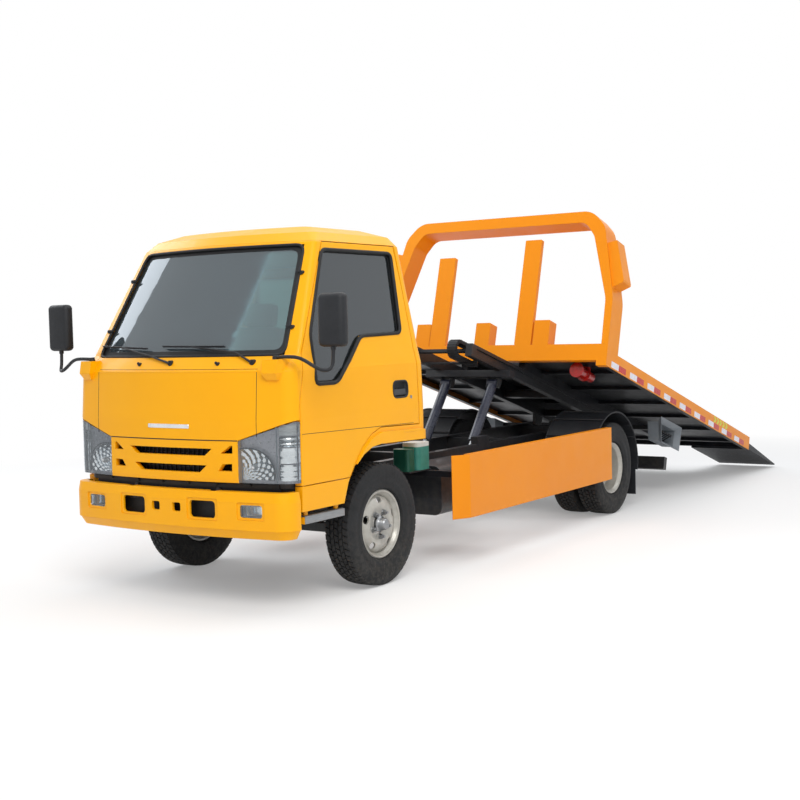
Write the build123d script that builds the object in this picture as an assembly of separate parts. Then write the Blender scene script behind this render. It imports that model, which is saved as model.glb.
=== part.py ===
from build123d import *
import math
import os

# Light cab-over truck with a flat bed that slides back and tips down behind it.
# X runs to the truck's left, Y rearward from the front axle, Z up from the road. Sizes in mm.

# Chassis and running gear
wheelbase = 3360
front_track = 1504
rear_track = 1425
dual_spacing = 232
tyre_r = 388
tyre_w = 196
rim_r = 214
rim_wall = 12
kingpin_x = 618
kingpin_r = 20
stub_end = 17
rail_out_x = 350
rail_flange = 60
rail_wall = 7
rail_top_z = 690
rail_height = 170
rail_front_y = -900
rail_rear_y = 4330
spring_w = 60
spring_leaf_t = 12

# Bed mechanism
tilt_deg = 15.89
pivot_y = 4250
pivot_z = 620
pivot_r = 38
pin_gap = 0.3
bed_front_rest_y = 2882
bed_front_rest_z = 1261
cab_gap = 110
bed_half_w = 1100
bed_rail_h = 131
bed_rail_w = 50
bed_rail_len = 3621
bed_wall = 6
bed_floor_w = 62
bed_plate_half = 1040
bed_plate_t = 2
hoop_corner_r = 110
tail_len = 912
tail_w = 620
slide_gap = 8
seat_gap = 0.3

tilt_rail_in_x = 250
tilt_rail_w = 60
tilt_rail_h = 100
tilt_front_reach = 833
tilt_rear_s = 690
crossbar_s = -1800
crossbar_half_x = 400
crossbar_h = 56
crossbar_d = 90

ram_x = 222
ram_eye_s = -1783
ram_eye_n = 36
ram_foot_y = 1915
ram_foot_z = 345
ram_r = 38
ram_rod_r = 22
rod_spare = 14
ram_barrel_len = 545
ram_eye_r = 34
ram_pin_r = 18
ram_eye_w = 84

# Cab
cab_wall = 45
cab_back_y = 500
nose_z = 744
cowl_z = 1481
header_z = 2142
door_gap = 5
door_front_gap = 7
door_rear_gap = 8
door_front_y = -846
door_rear_y = 395
door_low_z = 727
cab_hinge_y = -960
cab_hinge_z = 640
cab_hinge_r = 16
door_hinge_x = 858
door_hinge_y = -830
hinge_pin_r = 5
hinge_pin_len = 50
door_hinge_z = 1080
hinge_arm_w = 10
hinge_arm_t = 6
hinge_arm_reach = 88
glass_t = 6
glass_inset = 16
flare_proud = 14
arch_rear_z = 886
handle_y = 193
handle_z = 1226
handle_w = 166
handle_h = 104
handle_r = 36
step_y0 = -830
step_y1 = -445
step_z = 545
step_h = 40
floor_z = 712
floor_front_y = -945
floor_side_gap = 10
floor_t = 30
rear_floor_z = 900
tunnel_half_w = 300

# Front bumper
bumper_low_z = 425
bumper_top_z = 697
bumper_mid_y = -1056
bumper_half_w = 868
bumper_back_y = -868
bumper_corner_r = 108
bumper_wall = 14
stay_in_x = 258
recess_deep = 6

# Side guards
guard_x = 1050
guard_y0 = 728
guard_y1 = 3023
guard_z0 = 339
guard_z1 = 763
guard_t = 5
guard_lip = 45
guard_nose_in = 65
guard_nose_len = 128

# Worked out from the sizes above
rail_low_z = rail_top_z - rail_height
axle_z = tyre_r
sin_t = math.sin(math.radians(tilt_deg))
cos_t = math.cos(math.radians(tilt_deg))
bed_n = (bed_front_rest_y - pivot_y) * sin_t + (bed_front_rest_z - pivot_z) * cos_t
bed_s_rest = (bed_front_rest_y - pivot_y) * cos_t - (bed_front_rest_z - pivot_z) * sin_t
bed_travel = bed_s_rest - (cab_back_y + cab_gap - pivot_y)
tilt_rail_n1 = bed_n - slide_gap
tilt_rail_n0 = tilt_rail_n1 - tilt_rail_h
tilt_front_s = bed_s_rest - tilt_front_reach
bed_tail_y = pivot_y + (bed_s_rest + bed_rail_len + tail_len) * cos_t + bed_n * sin_t
origin_y = (bumper_mid_y + bed_tail_y) / 2

nodes = {}


def box(x0, x1, y0, y1, z0, z1):
    return Pos((x0 + x1) / 2, (y0 + y1) / 2, (z0 + z1) / 2) * Box(x1 - x0, y1 - y0, z1 - z0)


def both_sides(shape):
    return [shape, mirror(shape, about=Plane.YZ)]


def solids_of(shapes):
    found = []
    for shape in shapes:
        found += list(shape.solids())
    return found


def add(name, shapes):
    if not isinstance(shapes, (list, tuple)):
        shapes = [shapes]
    nodes[name] = solids_of(shapes)


def x_rod(x0, x1, y, z, radius):
    return Pos((x0 + x1) / 2, y, z) * Rot(0, 90, 0) * Cylinder(radius, x1 - x0)


def side_prism(points, x0, x1):
    # points are (y, z); the prism runs along X
    face = make_face(Polyline([(0, y, z) for y, z in points], close=True))
    return Pos(x0, 0, 0) * extrude(face, x1 - x0, dir=(1, 0, 0))


def front_prism(points, y0, y1):
    # points are (x, z); the prism runs along Y
    face = make_face(Polyline([(x, 0, z) for x, z in points], close=True))
    return Pos(0, y0, 0) * extrude(face, y1 - y0, dir=(0, 1, 0))


def spin_x(profile, x, y, z):
    # profile is (x, r); the turned shape's axis runs along X
    face = make_face(Polyline([(px, 0, pr) for px, pr in profile], close=True))
    return Pos(x, y, z) * revolve(face, Axis.X)


def tilted(shape):
    # shape is drawn with the pivot at the origin and the bed level
    return Pos(0, pivot_y, pivot_z) * Rot(-tilt_deg, 0, 0) * shape


def on_bed(shape):
    # shape is drawn with the bed's front lower edge at the origin and the bed level
    return tilted(Pos(0, bed_s_rest, bed_n) * shape)


# Cab skin: plan sections, from the sill to the roof.
# columns: z, half width, front y at the middle, front y at the corner, corner radius, back y
cab_sections = [
    (577, 862, -1002, -912, 95, 500),
    (766, 866, -1018, -926, 100, 500),
    (1100, 869, -1015, -922, 100, 500),
    (1385, 860, -1000, -903, 90, 500),
    (1481, 836, -935, -797, 34, 500),
    (2142, 702, -565, -447, 34, 488),
    (2205, 655, -500, -390, 60, 450),
    (2250, 520, -370, -290, 60, 330),
]
rear_corner_r = 70


def cab_block(inset):
    faces = []
    top_z = cab_sections[-1][0]
    for z, half_w, mid_y, corner_y, corner_r, back_y in cab_sections:
        level = z - (inset if z == top_z else inset * 0.5 if z > header_z else 0)
        hw = half_w - inset
        b = (-hw, corner_y + inset)
        c = (hw, corner_y + inset)
        outline = [
            Line((-hw, back_y - inset), b),
            ThreePointArc(b, (0, mid_y + inset), c),
            Line(c, (hw, back_y - inset)),
            Line((hw, back_y - inset), (-hw, back_y - inset)),
        ]
        face = make_face(Curve() + outline)
        front = face.vertices().sort_by(Axis.Y)[:2]
        face = fillet(front, max(corner_r - inset * 0.5, 12))
        rear = face.vertices().sort_by(Axis.Y)[-2:]
        face = fillet(rear, max(rear_corner_r - inset, 12))
        faces.append(Pos(0, 0, level) * face)
    return loft(faces, ruled=True)


def door_outline(front_grow, grow, rear_grow):
    # (y, z) outline of the left door, grown by the shut gaps
    line = [
        (door_front_y - front_grow, door_low_z - grow),
        (door_front_y - front_grow, 1180),
        (-778 - front_grow, cowl_z),
        (-378 - grow, header_z + grow),
        (door_rear_y + rear_grow, header_z + grow),
        (door_rear_y + rear_grow, 992 - grow),
        (-40, 1004 - grow),
        (-150, 968 - grow),
        (-240, 902 - grow),
        (-312, 822 - grow),
        (-385 + grow, door_low_z - grow),
    ]
    return line


window_outline = [
    (-690, 1300), (-478, 1300), (-165, 1570), (285, 1582), (345, 2096), (-398, 2096), (-668, 1590),
]
windshield_outline = [(-750, 1474), (750, 1474), (644, 2126), (-644, 2126)]
rear_window_outline = [(-560, 1500), (560, 1500), (520, 1980), (-520, 1980)]
grille_outline = [(-512, 740), (512, 740), (512, 986), (-512, 986)]
# (x, z) outlines of the grille's slots on the left half
grille_slots = [
    [(-20, 895), (275, 895), (328, 938), (-20, 938)],
    [(-20, 797), (236, 797), (288, 840), (-20, 840)],
    [(392, 912), (474, 912), (474, 958), (455, 956)],
    [(374, 810), (470, 810), (470, 853), (404, 850)],
]
lamp_outline = [(512, 740), (900, 740), (900, 1116), (512, 988)]
flare_outline = [
    (-440, 577), (-374, 727), (-318, 800), (-250, 872), (-165, 936), (-45, 974), (392, 962), (466, 950),
    (484, 930), (484, 860), (-440, 560),
]
arch_outline = [
    (-440, 400), (-440, 577), (-395, 700), (-330, 790), (-250, 850), (-160, 888), (-60, 900),
    (560, arch_rear_z), (560, 400),
]


def make_cab():
    outer = cab_block(0)
    inner = cab_block(cab_wall)
    shell = outer - inner - box(-700, 700, -900, 440, 500, 640)
    # raised lip round each wheel arch
    flare = (cab_block(-flare_proud) - inner) & side_prism(flare_outline, -1000, 1000)
    shell = shell + flare
    glass = cab_block(glass_inset) - cab_block(glass_inset + glass_t)

    arch = side_prism(arch_outline, -1000, 1000)
    nose_cut = box(-1000, 1000, -1200, door_front_y, 400, nose_z)
    skin = shell - arch - nose_cut
    door_hole = side_prism(door_outline(door_front_gap, door_gap, door_rear_gap), 500, 1000)
    for hole in both_sides(door_hole):
        skin = skin - hole
    windshield = front_prism(windshield_outline, -1200, -200)
    rear_window = front_prism(rear_window_outline, 400, 600)
    skin = skin - windshield - rear_window

    split_top = header_z + door_gap
    far = 2000
    for base in both_sides(mirror_base()):
        skin = skin + (base - outer)
    roof = skin & box(-far, far, -far, far, split_top, 2400)
    lower = skin & box(-far, far, -far, far, 400, split_top)
    back_split_y = door_rear_y + door_rear_gap - 200
    back = lower & box(-far, far, back_split_y, far, arch_rear_z + 60, split_top)
    front_upper = lower & box(-far, far, -far, back_split_y, cowl_z, split_top)
    front_low = lower & box(-far, far, -far, door_front_y, 400, cowl_z)
    sills = lower & box(-far, far, door_front_y, far, 400, arch_rear_z + 60)
    sills = sills + (lower & box(-far, far, door_front_y, back_split_y, arch_rear_z + 60, cowl_z))

    grille_hole = front_prism(grille_outline, -1200, -700)
    front_low = front_low - grille_hole
    lamp_hole = front_prism(lamp_outline, -1200, door_front_y - door_front_gap)
    lamps = []
    lamp_block = outer - inner
    for hole in both_sides(lamp_hole):
        front_low = front_low - hole
        lamps.append(lamp_block & hole & box(-far, far, -far, far, nose_z, cowl_z))
    grille = (outer - cab_block(30)) & grille_hole & box(-far, far, -far, far, nose_z, cowl_z)

    # each door turns on two pins, one held by the front panel and one standing on the sill
    sill_pin_z = door_low_z + 5
    pin = Cylinder(hinge_pin_r, hinge_pin_len)
    arm_x = door_hinge_x - hinge_arm_reach
    half = hinge_arm_w / 2
    low, high = door_hinge_z - hinge_arm_t / 2, door_hinge_z + hinge_arm_t / 2
    arm = box(arm_x - hinge_arm_w, door_hinge_x, door_hinge_y - half, door_hinge_y + half, low, high)
    arm = arm + box(arm_x - hinge_arm_w, arm_x, door_hinge_y - 62, door_hinge_y + half, low, high)
    upper_pin = (Pos(door_hinge_x, door_hinge_y, door_hinge_z) * pin) + arm
    for shape in both_sides(upper_pin):
        front_low = front_low + shape
    for shape in both_sides(Pos(door_hinge_x, door_hinge_y, sill_pin_z) * pin):
        sills = sills + shape
    # steps under the sills
    tread = box(792, 862, step_y0, step_y1, step_z - step_h, step_z)
    for y in (step_y0 + 30, step_y1 - 60):
        tread = tread + box(826, 840, y, y + 30, step_z - 10, 590)
    for shape in both_sides(tread):
        sills = sills + shape

    add("cab_roof", roof)
    add("cab_back_wall", back)
    add("cab_front_panel", front_low)
    add("cab_side_frames", front_upper + sills)
    add("headlamps", lamps)

    for slot in grille_slots:
        cut = front_prism(slot, -1200, -700)
        for hole in both_sides(cut):
            grille = grille - hole
    add("grille", grille)

    add("cab_glass", [glass & windshield, glass & rear_window])

    # doors
    door_block = side_prism(door_outline(0, 0, 0), 500, 1000)
    window = side_prism(window_outline, 500, 1000)
    door = (shell & door_block) - window
    door = door - rear_edge_wedge()
    for z in (door_hinge_z, sill_pin_z):
        door = door - Pos(door_hinge_x, door_hinge_y, z) * Cylinder(hinge_pin_r + pin_gap, hinge_pin_len + 2)
    # room for the upper hinge's arm as the door turns, and the bevel on the front edge
    swept = [(-hinge_arm_reach - 4, 8), (0, 8), (5.5, 5.5), (7.5, -2.7), (-23, -87), (-hinge_arm_reach - 4, -60)]
    face = make_face(Polyline([(door_hinge_x + x, door_hinge_y + y, door_hinge_z - 8) for x, y in swept], close=True))
    door = door - extrude(face, 16, dir=(0, 0, 1))
    # levels: z, how far the front edge has leaned back, how far the skin has leaned in
    levels = [(door_low_z - 1, 0, 0), (1180, 0, 0), (1330, 34, 4)]
    rings = []
    for z, back, lean in levels:
        bevel = [(870, 7), (861, -0.1), (861, -20), (880, -20), (880, 7)]
        points = [(x - lean, door_front_y + back + y, z) for x, y in bevel]
        rings.append(make_face(Polyline(points, close=True)))
    door = door - loft(rings[:2], ruled=True) - loft(rings[1:], ruled=True)
    door_glass = glass & window & box(500, 1000, -2000, 2000, 0, 3000)
    recess = box(830, 1000, handle_y - handle_w / 2, handle_y + handle_w / 2, handle_z - handle_h / 2,
                 handle_z + handle_h / 2)
    door = door - fillet(recess.edges().filter_by(Axis.X), handle_r)
    for side, turn in (("left", False), ("right", True)):
        door_here = mirror(door, about=Plane.YZ) if turn else door
        glass_here = mirror(door_glass, about=Plane.YZ) if turn else door_glass
        add("door_" + side, door_here)
        add("door_glass_" + side, glass_here)

    make_cab_floor(inner)
    return outer


def mirror_base():
    # the stub under each windscreen corner that carries a mirror arm
    rings = [
        [(708, -885, 1335), (708, -948, 1335), (778, -938, 1335), (800, -885, 1335)],
        [(692, -860, 1375), (692, -975, 1375), (792, -965, 1375), (812, -860, 1375)],
        [(690, -800, 1452), (690, -960, 1452), (792, -950, 1452), (808, -800, 1452)],
    ]
    faces = [make_face(Polyline(ring, close=True)) for ring in rings]
    return loft(faces[:2], ruled=True) + loft(faces[1:], ruled=True)


def rear_edge_wedge():
    # the inner side of the door's rear edge is cut back so that it swings past the pillar
    back = 14
    lean = 144
    pts = [
        (872, door_rear_y + 0.1), (872 - cab_wall, door_rear_y - back), (500, door_rear_y - back),
        (500, door_rear_y + 20), (872, door_rear_y + 20),
    ]
    low = make_face(Polyline([(x, y, 700) for x, y in pts], close=True))
    high = make_face(Polyline([(x - lean, y, 2200) for x, y in pts], close=True))
    return loft([low, high], ruled=True)


def make_cab_floor(inner):
    low_line = [
        (floor_front_y, floor_z), (-470, floor_z), (-345, 868), (-250, rear_floor_z + 4), (470, rear_floor_z + 4),
    ]
    high_line = [(y, z + floor_t) for y, z in reversed(low_line)]
    sheet = side_prism(low_line + high_line, -900, 900)
    tunnel_top = rear_floor_z + 4
    tunnel = box(-tunnel_half_w, tunnel_half_w, -860, -200, floor_z - 20, tunnel_top + floor_t)
    hollow = box(-tunnel_half_w + floor_t, tunnel_half_w - floor_t, -830, -100, 400, tunnel_top)
    floor = (sheet + tunnel) - hollow
    floor = floor & inner
    door_room = side_prism(door_outline(20, 12, 12), 500, 1000) - cab_block(cab_wall + floor_side_gap)
    for room in both_sides(door_room):
        floor = floor - room
    lug = side_prism([(cab_hinge_y - 30, cab_hinge_z), (cab_hinge_y - 22, cab_hinge_z + 22),
                      (cab_hinge_y + 6, floor_z + 5), (cab_hinge_y + 130, floor_z + 5),
                      (cab_hinge_y + 60, rail_top_z + 14), (cab_hinge_y + 28, cab_hinge_z + 8),
                      (cab_hinge_y + 22, cab_hinge_z - 24), (cab_hinge_y, cab_hinge_z - 34),
                      (cab_hinge_y - 22, cab_hinge_z - 24)], 318, 342)
    lug = lug - x_rod(300, 360, cab_hinge_y, cab_hinge_z, cab_hinge_r + pin_gap)
    add("cab_floor", [floor + both_sides(lug)[0] + both_sides(lug)[1]])


def make_cab_inside():
    # seats: centre x, width
    seats = []
    for seat_x, seat_w in ((430, 500), (0, 280), (-430, 500)):
        base_z = rear_floor_z + 4 + floor_t
        x0, x1 = seat_x - seat_w / 2, seat_x + seat_w / 2
        seat = side_prism([(-190, base_z), (330, base_z), (330, base_z + 110), (-170, base_z + 150),
                           (-215, base_z + 120)], x0, x1)
        back = side_prism([(205, base_z + 112), (330, base_z + 104), (430, base_z + 700), (345, base_z + 720)],
                          x0 + 8, x1 - 8)
        seats.append(seat + back)
    add("seats", seats)
    dash = side_prism([(-790, 1130), (-640, 1130), (-560, 1230), (-575, 1330), (-720, 1400), (-835, 1410),
                       (-870, 1300), (-1000, 1200), (-1000, 1130)], -735, 735)
    dash = dash & cab_block(cab_wall)

    # steering column and wheel; the wheel's axis leans back
    column_top = Vector(380, -415, 1335)
    lean = 38
    place = Pos(column_top) * Rot(-lean, 0, 0)
    column = Pos(0, 0, -28 - seat_gap - 145) * Cylinder(26, 290)
    bracket = box(345, 415, -625, -530, 1150, 1215)
    add("dashboard", dash + bracket + (place * column))
    rim = Torus(205, 15)
    hub = Pos(0, 0, -14) * Cylinder(48, 28)
    spokes = []
    for angle in (90, 210, 330):
        spokes.append(Rot(0, 0, angle) * Pos(120, 0, -8) * Box(170, 34, 12))
    add("steering_wheel", place * (rim + hub + spokes[0] + spokes[1] + spokes[2]))


def make_mirrors():
    mirrors = []
    for side, sign in (("left", 1), ("right", -1)):
        path = [(742, -900, 1463), (905, -900, 1468), (1040, -878, 1388), (1090, -850, 1392), (1100, -832, 1520)]
        line = FilletPolyline([Vector(sign * x, y, z) for x, y, z in path], radius=[40, 30, 30])
        start = Plane(origin=line @ 0, z_dir=line % 0)
        arm = sweep(start * Circle(11), path=line)
        head = Pos(sign * 1100, -830, 1667) * Box(178, 70, 300)
        head = fillet(head.edges().filter_by(Axis.Z), 24)
        mirrors.append(arm + head)
    add("mirrors", mirrors)


def make_bumper():
    def plan(inset, z):
        hw = bumper_half_w - inset
        mid = bumper_mid_y + inset
        corner = -985 + inset
        back = bumper_back_y
        b, c = (-hw, corner), (hw, corner)
        face = make_face(Curve() + [Line((-hw, back), b), ThreePointArc(b, (0, mid), c), Line(c, (hw, back)),
                                    Line((hw, back), (-hw, back))])
        face = fillet(face.vertices().sort_by(Axis.Y)[:2], max(bumper_corner_r - inset, 20))
        return Pos(0, 0, z) * face

    lip_z = bumper_low_z + 52
    outer = loft([plan(34, bumper_low_z), plan(6, lip_z)], ruled=True)
    outer = outer + loft([plan(0, lip_z), plan(0, 640), plan(10, bumper_top_z)], ruled=True)
    inner = loft([plan(34 + bumper_wall, bumper_low_z - 1), plan(bumper_wall + 6, lip_z)], ruled=True)
    inner = inner + loft([plan(bumper_wall + 6, lip_z), plan(bumper_wall + 6, bumper_top_z - 12)], ruled=True)
    throat = loft([plan(bumper_wall + 42, lip_z + 60), plan(bumper_wall + 42, bumper_top_z + 1)], ruled=True)
    shell = outer - inner - throat
    # openings: centre x, half width, centre z, half height
    openings = [(-276, 94, 588, 50), (276, 94, 588, 50), (-83, 32, 592, 26), (83, 32, 592, 26),
                (-620, 74, 588, 36), (620, 74, 588, 36)]
    holes = []
    skin_deep = outer - loft([plan(recess_deep, lip_z - 1), plan(recess_deep, bumper_top_z + 1)], ruled=True)
    for hole_x, half_w, hole_z, half_h in openings:
        hole = box(hole_x - half_w, hole_x + half_w, -1200, -900, hole_z - half_h, hole_z + half_h)
        hole = fillet(hole.edges().filter_by(Axis.Y), min(half_h, half_w) * 0.45)
        if half_w > 40:
            rim = box(hole_x - half_w - 18, hole_x + half_w + 18, -1200, -900, hole_z - half_h - 14,
                      hole_z + half_h + 14)
            rim = fillet(rim.edges().filter_by(Axis.Y), 12)
            shell = shell - (skin_deep & rim)
        holes.append(hole)
        shell = shell - hole
    stay = box(stay_in_x, stay_in_x + 26, bumper_mid_y, rail_front_y - 20, 642, 660)
    for arm in both_sides(stay):
        shell = shell + (arm & (inner + box(-500, 500, -960, 0, 300, 700)))
    # room for the cab's hinge lugs as the cab tips
    for room in both_sides(box(300, 360, -1026, -900, 600, bumper_top_z + 1)):
        shell = shell - room
    add("front_bumper", shell)
    lens_block = loft([plan(8, lip_z), plan(8, bumper_top_z)], ruled=True)
    lens_block = lens_block - loft([plan(34, lip_z - 1), plan(34, bumper_top_z + 1)], ruled=True)
    add("fog_lamps", [lens_block & hole for hole in holes[-2:]])


def make_chassis():
    web = box(rail_out_x - rail_wall, rail_out_x, rail_front_y, rail_rear_y, rail_low_z, rail_top_z)
    top = box(rail_out_x - rail_flange, rail_out_x, rail_front_y, rail_rear_y, rail_top_z - rail_wall, rail_top_z)
    low = box(rail_out_x - rail_flange, rail_out_x, rail_front_y, rail_rear_y, rail_low_z, rail_low_z + rail_wall)
    rail = web + top + low
    frame = rail + mirror(rail, about=Plane.YZ)
    web_in = rail_out_x - rail_wall
    # crossmembers: centre y, depth, low z, high z
    members = [(-890, 60, 540, 660), (700, 60, 560, 670), (1480, 60, 560, 670), (2760, 60, 560, 670),
               (4060, 60, 560, 670)]
    for mid_y, depth, low_z, high_z in members:
        frame = frame + box(-web_in, web_in, mid_y - depth / 2, mid_y + depth / 2, low_z, high_z)
    frame = frame + x_rod(-web_in, web_in, pivot_y, pivot_z, pivot_r)
    # cab hinge brackets either side of each cab lug
    for sign in (1, -1):
        for x0, x1 in ((294, 312), (348, 366)):
            plate = side_prism([(cab_hinge_y - 24, cab_hinge_z - 20), (cab_hinge_y - 24, cab_hinge_z + 22),
                                (cab_hinge_y + 24, cab_hinge_z + 22), (cab_hinge_y + 90, rail_top_z - 60),
                                (cab_hinge_y + 90, rail_low_z + 20), (cab_hinge_y + 30, rail_low_z + 20)],
                               min(sign * x0, sign * x1), max(sign * x0, sign * x1))
            frame = frame + plate
        pin_x = sorted((sign * 294, sign * 366))
        frame = frame + x_rod(pin_x[0], pin_x[1], cab_hinge_y, cab_hinge_z, cab_hinge_r)
        # rear cab mount
        mount_x = sorted((sign * (rail_out_x - rail_flange), sign * rail_out_x))
        frame = frame + box(mount_x[0], mount_x[1], 390, 446, rail_top_z, rear_floor_z + 4 - seat_gap)
        # seats for the tilting frame
        pad_x = sorted((sign * (rail_out_x - rail_flange), sign * rail_out_x))
        pad_top = pivot_z + tilt_rail_n0 - 6
        frame = frame + box(pad_x[0], pad_x[1], 2050, 2230, rail_top_z, pad_top)
        # foot brackets of the lifting rams, hung from a crossmember
        for x0, x1 in ((ram_x - ram_eye_w / 2 - 15, ram_x - ram_eye_w / 2 - seat_gap),
                       (ram_x + ram_eye_w / 2 + seat_gap, ram_x + ram_eye_w / 2 + 15)):
            lo, hi = sorted((sign * x0, sign * x1))
            plate = side_prism([(ram_foot_y - 50, ram_foot_z - 20), (ram_foot_y - 20, ram_foot_z - 44),
                                (ram_foot_y + 30, ram_foot_z - 40), (ram_foot_y + 46, ram_foot_z),
                                (ram_foot_y + 20, ram_foot_z + 60), (ram_foot_y - 110, 600),
                                (ram_foot_y - 200, 600), (ram_foot_y - 200, 540)], lo, hi)
            frame = frame + plate
    foot_member_y = ram_foot_y - 160
    frame = frame + box(-web_in, web_in, foot_member_y - 40, foot_member_y + 40, 540, 600)
    frame = frame + box(rail_out_x - 1, 700, 530, 800, 640, 650)
    add("chassis_frame", frame)


def leaf_spring(axle_y, half_len, low_z, leaves, drop):
    spring = None
    for index in range(leaves):
        reach = half_len * (1 - 0.16 * index)
        z = low_z + spring_leaf_t * (leaves - 1 - index)
        rise = drop * (reach / half_len) ** 2
        arc_out = ThreePointArc((0, axle_y - reach, z + rise), (0, axle_y, z), (0, axle_y + reach, z + rise))
        arc_in = ThreePointArc((0, axle_y + reach, z + rise + spring_leaf_t), (0, axle_y, z + spring_leaf_t),
                               (0, axle_y - reach, z + rise + spring_leaf_t))
        face = make_face(Curve() + [arc_out, Line(arc_out @ 1, arc_in @ 0), arc_in, Line(arc_in @ 1, arc_out @ 0)])
        leaf = extrude(face, spring_w, dir=(1, 0, 0))
        spring = leaf if spring is None else spring + leaf
    return spring


def make_axles():
    spring_x = rail_out_x - spring_w
    front_springs = []
    rear_springs = []
    front_seat_z = axle_z + 34
    rear_seat_z = axle_z + 54
    front_rise = 54
    rear_rise = 18
    front = leaf_spring(0, 560, front_seat_z, 3, front_rise)
    rear = leaf_spring(wheelbase, 600, rear_seat_z, 4, rear_rise)
    for sign in (1, -1):
        x = spring_x if sign > 0 else -spring_x - spring_w
        front_here = Pos(x, 0, 0) * front
        rear_here = Pos(x, 0, 0) * rear
        hanger_x0, hanger_x1 = x + 4, x + spring_w - 4
        for y in (-552, 552):
            top = rail_low_z
            hanger = box(hanger_x0, hanger_x1, y - 22, y + 22, front_seat_z + front_rise + 26, top)
            front_here = front_here + hanger
        for y in (wheelbase - 590, wheelbase + 590):
            hanger = box(hanger_x0, hanger_x1, y - 22, y + 22, rear_seat_z + rear_rise + 38, rail_low_z)
            rear_here = rear_here + hanger
        front_springs.append(front_here)
        rear_springs.append(rear_here)
    add("leaf_springs", front_springs + rear_springs)

    beam_drop = 40
    beam = box(-430, 430, -32, 32, axle_z - beam_drop - 36, axle_z - beam_drop + 20)
    seat = box(spring_x, spring_x + spring_w, -60, 60, axle_z - beam_drop + 20, front_seat_z)
    arm = front_prism([(425, axle_z - beam_drop - 36), (kingpin_x - 60, axle_z - 34), (kingpin_x, axle_z - 34),
                       (kingpin_x, axle_z + 34), (kingpin_x - 26, axle_z + 34), (425, axle_z - beam_drop + 20)],
                      -24, 24)
    arm = arm + Pos(kingpin_x, 0, axle_z) * Cylinder(26, 68)
    front_axle = beam
    for shape in both_sides(seat) + both_sides(arm):
        front_axle = front_axle + shape
    pin = Pos(kingpin_x, 0, axle_z) * Cylinder(kingpin_r, 180)
    for shape in both_sides(pin):
        front_axle = front_axle + shape
    add("front_axle", front_axle)

    housing = x_rod(-612, 612, wheelbase, axle_z, 52)
    bowl = Pos(0, wheelbase, axle_z) * Sphere(160)
    bowl = bowl & box(-130, 130, wheelbase - 300, wheelbase + 300, 200, 600)
    nose = Pos(0, wheelbase - 190, axle_z) * Rot(90, 0, 0) * Cone(45, 85, 120)
    housing = housing + bowl + nose
    for shape in both_sides(box(spring_x, spring_x + spring_w, wheelbase - 70, wheelbase + 70, axle_z, rear_seat_z)):
        housing = housing + shape
    add("rear_axle", housing)
    shaft_y0, shaft_y1 = 642, wheelbase - 252
    shaft_z0, shaft_z1 = 470, axle_z
    length = math.hypot(shaft_y1 - shaft_y0, shaft_z1 - shaft_z0)
    angle = math.degrees(math.atan2(shaft_z1 - shaft_z0, shaft_y1 - shaft_y0))
    shaft = Pos(0, (shaft_y0 + shaft_y1) / 2, (shaft_z0 + shaft_z1) / 2) * Rot(angle - 90, 0, 0)
    shaft = shaft * (Cylinder(38, length) + Pos(0, 0, length / 2 - 30) * Cylinder(52, 60)
                     + Pos(0, 0, 30 - length / 2) * Cylinder(52, 60))
    add("drive_shaft", shaft)


def tyre_ring(x, y):
    half = tyre_w / 2
    profile = [
        (-half * 0.62, rim_r), (-half * 0.94, rim_r + 40), (-half, rim_r + 90), (-half * 0.95, tyre_r - 34),
        (-half * 0.80, tyre_r - 5), (-half * 0.4, tyre_r), (half * 0.4, tyre_r), (half * 0.80, tyre_r - 5),
        (half * 0.95, tyre_r - 34), (half, rim_r + 90), (half * 0.94, rim_r + 40), (half * 0.62, rim_r),
    ]
    return spin_x(profile, x, y, axle_z)


def rim_shape(x, y, dish, sign):
    # dish is how far the disc stands towards the outside of the wheel's middle plane
    half = tyre_w * 0.31
    t = rim_wall
    lip = half + 8
    barrel = spin_x([(-lip, rim_r - 2), (-half, rim_r), (half, rim_r), (lip, rim_r - 2), (lip, rim_r - t),
                     (half - 12, rim_r - t - 16), (-half + 12, rim_r - t - 16), (-lip, rim_r - t)], x, y, axle_z)
    d = sign * dish
    # the disc's cone leans towards the middle of its own rim
    edge = d - sign * 46 if dish > 0 else d + sign * 46
    disc = spin_x([(d, 62), (d, 150), (edge, rim_r - t - 14), (edge - sign * t, rim_r - t - 14),
                   (d - sign * t, 150), (d - sign * t, 62)], x, y, axle_z)
    for index in range(6):
        angle = math.radians(60 * index + 30)
        hole_y = y + 132 * math.cos(angle)
        hole_z = axle_z + 132 * math.sin(angle)
        disc = disc - x_rod(x - 120, x + 120, hole_y, hole_z, 17)
    return barrel + disc


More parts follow.
